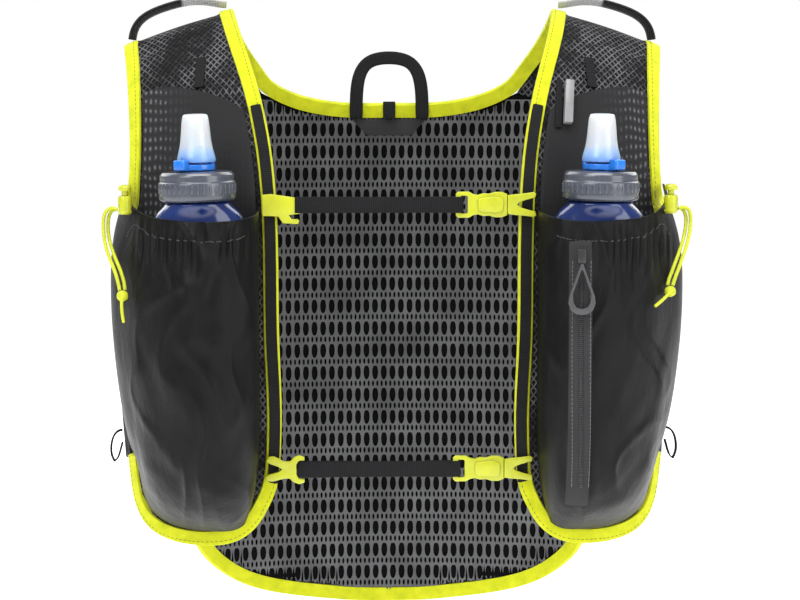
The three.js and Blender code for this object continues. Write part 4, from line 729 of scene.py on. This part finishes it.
# One tile of the net: an oval hole, and on the inner face two small slits below it
def netTile(withSlits):
    curve = bpy.data.curves.new("netTile", "CURVE")
    curve.dimensions = "2D"
    curve.fill_mode = "BOTH"
    wide, high = net["across"] / 2, net["down"] / 2

    def loop(points):
        spline = curve.splines.new("POLY")
        spline.points.add(len(points) - 1)
        for point, (x, z) in zip(spline.points, points):
            point.co = (x, z, 0, 1)
        spline.use_cyclic_u = True

    def oval(x, z, width, height, count):
        turns = [2 * math.pi * k / count for k in range(count)]
        return [(x + width / 2 * math.cos(turn), z + height / 2 * math.sin(turn)) for turn in turns]

    level = net["slitDrop"] / 2 * net["rise"]
    loop([(-wide, -high), (wide, -high), (wide, high), (-wide, high)])
    loop(oval(0, level, *net["hole"], net["holePoints"]))
    if withSlits:
        for x in (-wide / 2, wide / 2):
            loop(oval(x, level - net["slitDrop"], *net["slit"], net["slitPoints"]))
    tile = bpy.data.objects.new("netTile", curve)
    bpy.context.scene.collection.objects.link(tile)
    only(tile)
    bpy.ops.object.convert(target="MESH")
    return tile


# The tile repeated over the back and laid on its inner (facing -1) or outer (facing 1) face
def netSheet(name, facing, withSlits):
    tile = netTile(withSlits)
    only(tile)
    for axis, count, step in ((0, net["columns"], net["across"]), (1, net["rows"], net["down"])):
        offset = [0, 0, 0]
        offset[axis] = step
        applyModifier(tile, "ARRAY", count=count, use_relative_offset=False, use_constant_offset=True,
                      constant_offset_displace=offset, use_merge_vertices=True, merge_threshold=net["merge"])
    tile.name = name
    flat = coordinatesOf(tile)
    x = flat[:, 0] - net["columns"] * net["across"] / 2 + net["across"] / 2
    z = net["top"] - net["rows"] * net["down"] + flat[:, 1]
    surface = surfaceOf(backSheet)
    backPoints = coordinatesOf(backSheet)
    flattened = BVHTree.FromPolygons([Vector((p[0], 0, p[2])) for p in backPoints],
                                     [tuple(p.vertices) for p in backSheet.data.polygons])
    placed = np.zeros((len(x), 3))
    keep = np.zeros(len(x), bool)
    margin = net["innerMargin"] if facing < 0 else net["outerMargin"]
    start = net["behind"] if facing > 0 else 0.0  # rays start behind the back, or at the middle of the vest
    for k in range(len(x)):
        spot, _, _, distance = flattened.find_nearest(Vector((x[k], 0, z[k])))
        keep[k] = distance < net["reach"]
        if distance > margin:
            x[k], _, z[k] = spot.lerp(Vector((x[k], 0, z[k])), margin / distance)
        probe = Vector((spot.x * net["inset"], start, spot.z))
        hit, _, _, _ = surface.ray_cast(probe, Vector((0, -facing, 0)))
        if hit is None:
            hit = surface.find_nearest(Vector((spot.x, net["middle"], spot.z)))[0]
        placed[k] = (x[k], hit.y + facing * (net["thickness"] * 0.5 + net["gap"]), z[k])
    putBack(tile, placed)
    shape = bmesh.new()
    shape.from_mesh(tile.data)
    shape.verts.ensure_lookup_table()
    bmesh.ops.delete(shape, geom=[shape.verts[k] for k in np.flatnonzero(~keep)], context="VERTS")
    bmesh.ops.recalc_face_normals(shape, faces=shape.faces)
    shape.to_mesh(tile.data)
    shape.free()
    applyModifier(tile, "SOLIDIFY", thickness=net["thickness"], offset=0)
    only(tile)
    bpy.ops.object.shade_smooth_by_angle(angle=math.radians(net["smooth"]))
    print(name, "faces", len(tile.data.polygons))
    return dress(tile, "spacerYarn")


backNets = [netSheet("spacer_net_inner", -1, True), netSheet("spacer_net_outer", 1, False)]
print("net ready")

# Edge tape with its stitch lines
frontTapePath = millimetres([(115, 0, 3), (112, -24, -6), (104, -53, -30), (95, -75, -61), (88, -89, -96),
                             (85, -99, -149), (84, -100, -217), (83, -94, -288), (84, -92, -312),
                             (91, -91, -327), (98, -91, -340), (111, -89, -349), (126, -85, -351),
                             (142, -79, -351), (156, -70, -349), (167, -63, -343), (173, -58, -335),
                             (177, -54, -323), (179, -55, -298)])
halfNeck = millimetres([(115, 0, 3), (114, 24, -5), (108, 43, -20), (98, 55, -35), (88, 63, -51),
                        (70, 69, -60), (54, 73, -64), (32, 75, -67)])
neckTapePath = halfNeck + millimetres([(0, 76, -67)]) + flipped(halfNeck[::-1])
armholeTapePath = millimetres([(177, -57, -125), (176, -49, -86), (177, -38, -59), (179, -23, -35),
                               (180, -8, -22), (181, 0, -19), (180, 9, -22), (177, 26, -36),
                               (168, 38, -56), (159, 49, -76), (152, 59, -107), (150, 64, -157),
                               (169, 41, -151), (185, 3, -141), (186, -35, -131), (177, -57, -125)])
halfHem = millimetres([(147, 59, -325), (139, 58, -364), (135, 57, -383), (115, 66, -400), (95, 73, -409),
                       (72, 79, -414), (45, 84, -418), (10, 87, -421)])
hemTapePath = halfHem + flipped(halfHem[::-1])
stitch = {"pitch": 0.0032, "length": 0.0023, "gauge": 0.00055, "fromEdge": 0.0024}
stitchShape = stitchMesh(stitch["length"], stitch["gauge"], stitch["gauge"])
tapeHold = {"crease": 0.72, "fullness": 0.0006}
# Each tape with its path, and the side of the path on which its stitches run
tapeRuns = [("front_edge_binding_right", frontTapePath, -1),
            ("front_edge_binding_left", flipped(frontTapePath), 1), ("neck_binding", neckTapePath, 1),
            ("armhole_binding_right", armholeTapePath, 1),
            ("armhole_binding_left", flipped(armholeTapePath), -1),
            ("back_hem_binding", hemTapePath, 1)]
for node, path, way in tapeRuns:
    tape = softCopy(node, node.replace("binding", "tape"), "tape", "edge_tape", crease=tapeHold["crease"])
    putBack(tape, coordinatesOf(tape) + normalsOf(tape) * tapeHold["fullness"])
    repeatAlong(node.replace("binding", "stitches"), [path], tape, stitch["pitch"], stitchShape, "tapeThread",
                shift=way * stitch["fromEdge"])
print("edge tape ready")

# Flask pockets
# Soft creases of the nylon: place as seen from the front, way down, half width, length, depth, in millimetres
pocketCreases = {
    "left": [
        ((-152, -158), (0.25, -1), 3.2, 26, -1.6),
        ((-141, -160), (0.12, -1), 3.0, 30, 1.2),
        ((-166, -152), (0.5, -1), 3.5, 22, -1.5),
        ((-118, -163), (-0.3, -1), 3.2, 24, -1.1),
        ((-172, -215), (0.4, -1), 5, 34, -1.6),
        ((-150, -238), (0.7, -1), 6, 40, 1.4),
        ((-125, -205), (-0.25, -1), 6, 36, -1.2),
        ((-165, -290), (0.9, -0.6), 5, 30, -1.5),
        ((-140, -305), (1, -0.35), 5, 34, 1.3),
        ((-110, -300), (-0.8, -0.7), 5, 26, -1.2),
        ((-106, -250), (-0.1, -1), 4, 40, -1.0),
    ],
    "right": [
        ((150, -152), (0.1, -1), 2.8, 28, -1.5),
        ((160, -153), (0.2, -1), 2.8, 32, 1.3),
        ((170, -150), (0.15, -1), 2.8, 30, -1.4),
        ((140, -158), (0, -1), 3, 26, 1.0),
        ((176, -200), (-0.2, -1), 5, 40, -1.5),
        ((150, -225), (-0.35, -1), 6, 44, 1.4),
        ((138, -262), (0.3, -1), 6, 36, -1.3),
        ((168, -285), (-0.7, -0.8), 5, 34, -1.5),
        ((150, -320), (-1, -0.4), 5, 30, 1.2),
        ((104, -260), (0.05, -1), 4, 50, -0.9),
    ],
}


# Folds, and gathers under the hem as from, to, pitch and depth, in millimetres
pocketFolds = {
    "left": {"seed": 3.1, "hem": -143, "depth": 2.6,
             "gathers": [(-176, -128, 5.2, 1.3), (-128, -96, 7.5, 0.8)]},
    "right": {"seed": 8.4, "hem": -145, "depth": 2.2,
              "gathers": [(132, 184, 4.8, 1.35), (98, 132, 8.0, 0.5)]},
}
foldShape = {"warp": (46, 60), "warpBy": 1.4, "long": (21, 58), "slant": 160, "sharpness": 2.4, "base": 0.35,
             "small": (11, 24), "smallDepth": 0.55, "drop": 8, "reach": 11, "fade": 6,
             "bend": 0.35, "lean": 0.012}
pocketFront = {"from": 0.09, "blend": 0.02}  # creases fade out towards the seams at the sides
creaseForm = {"middle": 0.4, "taper": 1.6}


# Long soft folds that wander with the height, and short gathers under the hem
def foldHeight(x, z, folds):
    shape = foldShape
    seed = folds["seed"]
    warp = foldNoise.noise(Vector((x / shape["warp"][0], z / shape["warp"][1], seed))) * shape["warpBy"]
    leaning = z / shape["long"][1] + x / shape["slant"]
    long = foldNoise.noise(Vector((x / shape["long"][0] + warp, leaning, seed + 4)))
    ridge = (1 - min(abs(long) * shape["sharpness"], 1)) ** 2
    small = foldNoise.noise(Vector((x / shape["small"][0] + warp, z / shape["small"][1], seed + 9)))
    height = folds["depth"] * (ridge - shape["base"]) + shape["smallDepth"] * small
    below = folds["hem"] - z
    for start, end, pitch, depth in folds["gathers"]:
        if start <= x <= end:
            inside = min(x - start, end - x, shape["fade"]) / shape["fade"]
            fall = math.exp(-((below - shape["drop"]) / shape["reach"]) ** 2)
            turn = 2 * math.pi * (x / pitch + shape["bend"] * warp + below * shape["lean"])
            height += depth * inside * fall * math.sin(turn)
    return height


# Presses the creases and folds of a pocket into its cloth, from the front
def creaseCloth(piece, creases, folds):
    coordinates = coordinatesOf(piece)
    x, z = coordinates[:, 0] * 1000, coordinates[:, 2] * 1000
    move = np.zeros(len(x))
    for at, down, half, length, depth in creases:
        way = np.array(down, float)
        way /= np.hypot(*way)
        dx, dz = x - at[0], z - at[1]
        along, beside = dx * way[0] + dz * way[1], dx * way[1] - dz * way[0]
        wide = np.exp(-(beside / half) ** 2)
        long = np.exp(-((along - length * creaseForm["middle"]) / length) ** 2 * creaseForm["taper"])
        move += depth * (wide * long)
    move += np.array([foldHeight(across, up, folds) for across, up in zip(x, z)])
    front = np.clip((-coordinates[:, 1] - pocketFront["from"]) / pocketFront["blend"], 0, 1)
    coordinates[:, 1] -= move * 0.001 * front
    putBack(piece, coordinates)


pockets = {}
for side in ("left", "right"):
    pocket = softCopy(f"pocket_{side}", f"flask_pocket_{side}", "nylon", "nylon", levels=3)
    creaseCloth(pocket, pocketCreases[side], pocketFolds[side])
    pockets[side] = pocket

hem = {"drop": 0.0125, "inset": 0.006, "step": 0.004, "near": 0.8, "frontShare": 0.75, "level": 0.006,
       "pitch": 0.0028, "lift": 0.0001}


# The line that runs a set distance below the upper edge of a piece, across its front
def belowTop(piece):
    points = coordinatesOf(piece)
    points = points[points[:, 1] < np.quantile(points[:, 1], hem["frontShare"])]
    line = []
    for x in np.arange(points[:, 0].min() + hem["inset"], points[:, 0].max() - hem["inset"], hem["step"]):
        near = points[np.abs(points[:, 0] - x) < hem["step"] * hem["near"]]
        if not len(near):
            continue
        height = near[:, 2].max() - hem["drop"]
        level = near[np.abs(near[:, 2] - height) < hem["level"]]
        line.append((x, level[:, 1].min() if len(level) else near[:, 1].min(), height))
    return line


for side in ("left", "right"):
    pocket = pockets[side]
    repeatAlong(f"pocket_hem_stitches_{side}", [belowTop(pocket)], pocket, hem["pitch"], stitchShape,
                "thread", lift=hem["lift"])
for side in ("left", "right"):
    stretchPocket = softCopy(f"stretch_pocket_{side}", f"stretch_cloth_{side}", "stretch", "stretch_mesh")
print("pockets ready")

# Webbing, loops and trim
webbingCrease = 0.8
for node, name, material in (("hang_loop", "hang_loop_webbing", "webbing"),
                             ("zip_tape", "zip_cloth", "greyHem"),
                             ("whistle_strap", "whistle_lanyard", "webbingUp")):
    softCopy(node, name, material, "webbing", crease=webbingCrease)
for side in ("left", "right"):
    for node, name in (("rail", "rail_webbing"), ("strap_tab", "tab_webbing"), ("side_loop", "side_elastic")):
        softCopy(f"{node}_{side}", f"{name}_{side}", "webbingUp", "webbing", crease=webbingCrease)
    softCopy(f"shoulder_loop_{side}", f"shoulder_tape_{side}", "reflective", "reflective_tape",
             crease=webbingCrease)
for level in ("upper", "lower"):
    hardCopy(f"chest_strap_{level}", f"strap_webbing_{level}", "webbing", edge=0.0003, segments=2)
hardCopy("neck_label", "neck_label_cloth", "greyHem", edge=0.0003)
hardCopy("hang_loop_tab", "loop_tab_webbing", "webbingUp", edge=0.0004)
# Bar tacks across the rails, at these distances from the top
railPath = millimetres([(94, -73, -62), (88, -86, -96), (85, -97, -149), (84, -98, -217), (83, -93, -267),
                        (84, -89, -312)])
tack = {"rise": [0.03, 0.065, 0.1, 0.14, 0.18, 0.215], "size": (0.0062, 0.0007, 0.0006), "rows": 4,
        "step": 0.0011, "measure": 0.001, "lift": 0.0001}
tackShape = stitchMesh(*tack["size"])


def tackPaths(path):
    spots = list(walk(smoothPath(path), tack["measure"]))
    for rise in tack["rise"]:
        here, along = spots[min(int(rise / tack["measure"]), len(spots) - 1)]
        yield [here, here + along * tack["rows"] * tack["step"]]


for side in ("left", "right"):
    path = railPath if side == "right" else flipped(railPath)
    rail = bpy.data.objects[f"rail_webbing_{side}"]
    repeatAlong(f"rail_tacks_{side}", list(tackPaths(path)), rail, tack["step"], tackShape, "greyThread",
                turn=math.pi / 2, lift=tack["lift"])
# Teeth down the middle of the zip, and a line of stitches on each side
zipRun = {"fromTop": 0.012, "fromBottom": 0.004, "tooth": (0.0034, 0.0009, 0.0011), "toothPitch": 0.0013,
          "toothLift": 0.0003, "seam": 0.006, "pitch": 0.0028, "lift": 0.0001, "spread": 0.03}
zipLow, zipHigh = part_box("zip_tape")
zipMiddle = (zipLow[0] + zipHigh[0]) / 2
zipCloth = bpy.data.objects["zip_cloth"]
teethPath = [(zipMiddle, zipLow[1], zipHigh[2] - zipRun["fromTop"]),
             (zipMiddle, zipLow[1], zipLow[2] + zipRun["fromBottom"])]
repeatAlong("zip_teeth", [teethPath], zipCloth, zipRun["toothPitch"], stitchMesh(*zipRun["tooth"]), "zipDark",
            turn=math.pi / 2, lift=zipRun["toothLift"], spread=zipRun["spread"])
for side, way in (("left", -1), ("right", 1)):
    edge = [(x + way * zipRun["seam"], y, z) for x, y, z in teethPath]
    repeatAlong(f"zip_stitches_{side}", [edge], zipCloth, zipRun["pitch"], stitchShape, "greyThread",
                lift=zipRun["lift"], spread=zipRun["spread"])
print("webbing ready")


# Moulded parts
def mirrored(points):
    return points + [(x, -z) for x, z in reversed(points) if z]


# Outlines in millimetres: along the strap from the left end of the CAD piece, and up from its middle
clipOutlines = {
    "socket": mirrored([(0, 7.2), (1.6, 8.6), (8.6, 8.6), (11.5, 7), (14.5, 6.4), (18, 7.5), (22, 7.2),
                        (26, 8.4), (30.5, 8.4), (34, 7)]),
    "slot": mirrored([(3.2, 5.2), (4, 5.9), (7, 5.9), (7.8, 5.2)]),
    "boss": mirrored([(14.5, 3.4), (17, 4.6), (27, 5.4), (30.5, 4.4), (31.5, 2.6)]),
    "fork": mirrored([(0, 6.2), (4, 6.8), (12, 7.5), (17.2, 8.3), (19, 7.2), (18.4, 4.6), (12, 3),
                      (7.6, 1.4), (6.4, 0)]),
    "plate": [(0, 9.5), (6, 10), (24, 7.3), (26.3, 5.6), (26.3, -1.4), (25, -3), (17.7, -3.9),
              (19.5, -6.7), (23.6, -6.5), (24.6, -7.8), (23.8, -9.9), (13.7, -9.3), (10.6, -4.9),
              (0, -4.5)],
    "arms": [(0.8, 5.8), (2.8, 8.6), (6.3, 8.9), (13.3, 5.4), (17.3, 5.6), (19.8, 8.4), (23.3, 9.6),
             (26.7, 8.2), (26.7, 6), (23.3, 6), (21.3, 3.4), (21.3, -3.4), (23.3, -6), (26.7, -6.4),
             (26.7, -8.6), (23.3, -9.8), (19.3, -8.4), (16.8, -6), (13.3, -6), (5.3, -8), (1.3, -7.6),
             (0.3, -4.6), (3.3, -3.2), (9.3, -1.6), (11.7, 0), (9.3, 1.8), (3.3, 4)],
    "pull": [(8.2, 16.2), (9.8, 16.2), (13.5, 6), (17.2, -4), (17.8, -9), (16, -13.6), (12.6, -16),
             (9, -16.4), (5.4, -16), (2, -13.6), (0.2, -9), (0.8, -4), (4.5, 6)],
    "pullEye": [(8.4, 12.4), (9.6, 12.4), (12, 5.2), (15, -3), (14.4, -8.6), (12.6, -11.6), (9, -12.6),
                (5.4, -11.6), (3.6, -8.6), (3, -3), (6, 5.2)],
}


# Plates: how deep the socket and its boss reach from the back, as shares, and how far edges are rounded
plates = {"roundness": 3, "merge": 0.000002, "smooth": 35, "socket": (0, 0.72), "boss": (0.5, 1),
          "bossRim": 0.0008, "pullRim": 0.0004}


def mouldedPlate(name, node, outline, holes=(), shares=(0, 1), rim=0.0006, material="yellowPlastic"):
    low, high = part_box(node)
    curve = bpy.data.curves.new(name, "CURVE")
    curve.dimensions = "2D"
    curve.fill_mode = "BOTH"
    thickness = (high.y - low.y) * (shares[1] - shares[0])
    curve.extrude = thickness / 2 - rim
    curve.bevel_depth = rim
    curve.bevel_resolution = plates["roundness"]
    curve.offset = -rim
    for loop in (outline, *holes):
        spline = curve.splines.new("POLY")
        spline.points.add(len(loop) - 1)
        for point, (x, z) in zip(spline.points, loop):
            point.co = (x * 0.001, z * 0.001, 0, 1)
        spline.use_cyclic_u = True
    plate = bpy.data.objects.new(name, curve)
    bpy.context.scene.collection.objects.link(plate)
    only(plate)
    bpy.ops.object.convert(target="MESH")
    plate = bpy.context.object
    flat = coordinatesOf(plate)
    middle = high.y - (high.y - low.y) * (shares[0] + shares[1]) / 2
    placed = [low.x + flat[:, 0], middle + flat[:, 2], (low.z + high.z) / 2 + flat[:, 1]]
    putBack(plate, np.stack(placed, axis=1))
    shape = bmesh.new()
    shape.from_mesh(plate.data)
    bmesh.ops.remove_doubles(shape, verts=shape.verts, dist=plates["merge"])
    bmesh.ops.recalc_face_normals(shape, faces=shape.faces)
    shape.to_mesh(plate.data)
    shape.free()
    only(plate)
    bpy.ops.object.shade_smooth_by_angle(angle=math.radians(plates["smooth"]))
    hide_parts(node)
    return dress(plate, material)


for level, leftOutline in (("upper", "plate"), ("lower", "arms")):
    mouldedPlate(f"clip_{level}_left", f"rail_clip_{level}_left", clipOutlines[leftOutline])
    mouldedPlate(f"clip_{level}_right", f"rail_clip_{level}_right", clipOutlines["fork"])
    socket = f"buckle_socket_{level}"
    mouldedPlate(f"socket_{level}", socket, clipOutlines["socket"], [clipOutlines["slot"]], plates["socket"])
    mouldedPlate(f"socket_boss_{level}", socket, clipOutlines["boss"], shares=plates["boss"],
                 rim=plates["bossRim"])
for side in ("left", "right"):
    for node, name in (("cord_lock", "lock_barrel"), ("cord_lock_plunger", "lock_plunger")):
        hardCopy(f"{node}_{side}", f"{name}_{side}", "yellowPlastic", edge=0.0004)
    softCopy(f"valve_lever_{side}", f"lever_{side}", "lever", "blue_plastic", levels=3, crease=0.4)
    softCopy(f"flask_{side}", f"flask_film_{side}", "flask", "flask_film", crease=0.3, angle=60)
    softCopy(f"flask_cap_{side}", f"cap_{side}", "cap", "smoke_plastic", crease=0.75, angle=25)
    softCopy(f"bite_valve_{side}", f"valve_{side}", "valve", "silicone", crease=0.5, angle=40)
# Upright ribs around the caps
knurls = {"count": 40, "size": (0.0075, 0.0022, 0.0008), "height": 0.42, "ringPoints": 72}
knurlShape = stitchMesh(*knurls["size"])
for side in ("left", "right"):
    low, high = (Vector(corner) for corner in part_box(f"flask_cap_{side}"))
    middle, reach = (low + high) / 2, (high.x - low.x) / 2
    height = low.z + (high.z - low.z) * knurls["height"]
    turns = [2 * math.pi * k / knurls["ringPoints"] for k in range(knurls["ringPoints"] + 1)]
    ring = [middle + Vector((math.cos(turn) * reach, math.sin(turn) * reach, height - middle.z))
            for turn in turns]
    pitch = 2 * math.pi * reach / knurls["count"]
    repeatAlong(f"cap_ribs_{side}", [ring], bpy.data.objects[f"cap_{side}"], pitch, knurlShape, "cap",
                turn=math.pi / 2, body=bodyOf[f"flask_cap_{side}"])
hardCopy("zip_slider", "zip_slider_body", "zipDark", edge=0.0006)
mouldedPlate("zip_pull_grip", "zip_pull", clipOutlines["pull"], [clipOutlines["pullEye"]],
             material="greyPlastic", rim=plates["pullRim"])
hardCopy("whistle", "whistle_body", "whistle", edge=0.0007)
print("moulded parts ready")

# Stage and light
studio = {"floorDrop": -0.62, "half": 7.0, "glow": 0.74, "ambient": 0.34, "backdrop": 1.0}
lights = {
    "keyBox": {"at": (-1.6, -2.0, 1.5), "aim": (0, 0, -0.2), "size": (1.6, 1.6), "power": 46},
    "fillBox": {"at": (1.9, -1.8, 0.6), "aim": (0, 0, -0.2), "size": (1.6, 1.8), "power": 34},
    "topBox": {"at": (0, -0.8, 1.9), "aim": (0, 0, -0.2), "size": (2.0, 1.0), "power": 50},
    "backLeft": {"at": (-1.4, 1.6, 1.2), "aim": (0, 0.6, -0.3), "size": (1.8, 1.8), "power": 30},
    "backRight": {"at": (1.4, 1.6, 1.2), "aim": (0, 0.6, -0.3), "size": (1.8, 1.8), "power": 30},
}


def makeStage():
    bpy.ops.object.select_all(action="DESELECT")
    bpy.ops.mesh.primitive_plane_add(size=1, location=(0, 0, 0))
    stage = bpy.context.object
    stage.name = "paperFloor"
    putBack(stage, np.sign(coordinatesOf(stage)) * studio["half"] + np.array([0, 0, studio["floorDrop"]]))
    stage.data.materials.append(newMaterial("paper", (0.94, 0.94, 0.94), 0.9, Emission_Color=(1, 1, 1, 1),
                                            Emission_Strength=studio["glow"]))
    stage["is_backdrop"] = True


def softLight(name, light):
    data = bpy.data.lights.new(name, "AREA")
    data.shape = "RECTANGLE"
    data.size, data.size_y = light["size"]
    data.energy = light["power"]
    lamp = bpy.data.objects.new(name, data)
    lamp.location = light["at"]
    lamp.rotation_euler = (Vector(light["aim"]) - Vector(light["at"])).to_track_quat("-Z", "Y").to_euler()
    bpy.context.scene.collection.objects.link(lamp)


makeStage()
for name, light in lights.items():
    softLight(name, light)
world = bpy.context.scene.world or bpy.data.worlds.new("studio")
bpy.context.scene.world = world
world.use_nodes = True
seen = world.node_tree.nodes.new("ShaderNodeLightPath")
strength = world.node_tree.nodes.new("ShaderNodeMapRange")
strength.inputs["To Min"].default_value = studio["ambient"]
strength.inputs["To Max"].default_value = studio["backdrop"]
world.node_tree.links.new(seen.outputs["Is Camera Ray"], strength.inputs["Value"])
background = world.node_tree.nodes["Background"]
world.node_tree.links.new(strength.outputs["Result"], background.inputs["Strength"])
background.inputs["Color"].default_value = (1, 1, 1, 1)
bpy.context.scene.view_settings.view_transform = "Standard"
print("stage ready")

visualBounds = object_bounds()
plain = lambda box: [[round(float(v), 5) for v in corner] for corner in box]
{"cad": plain(cadBounds), "visual": plain(visualBounds)}
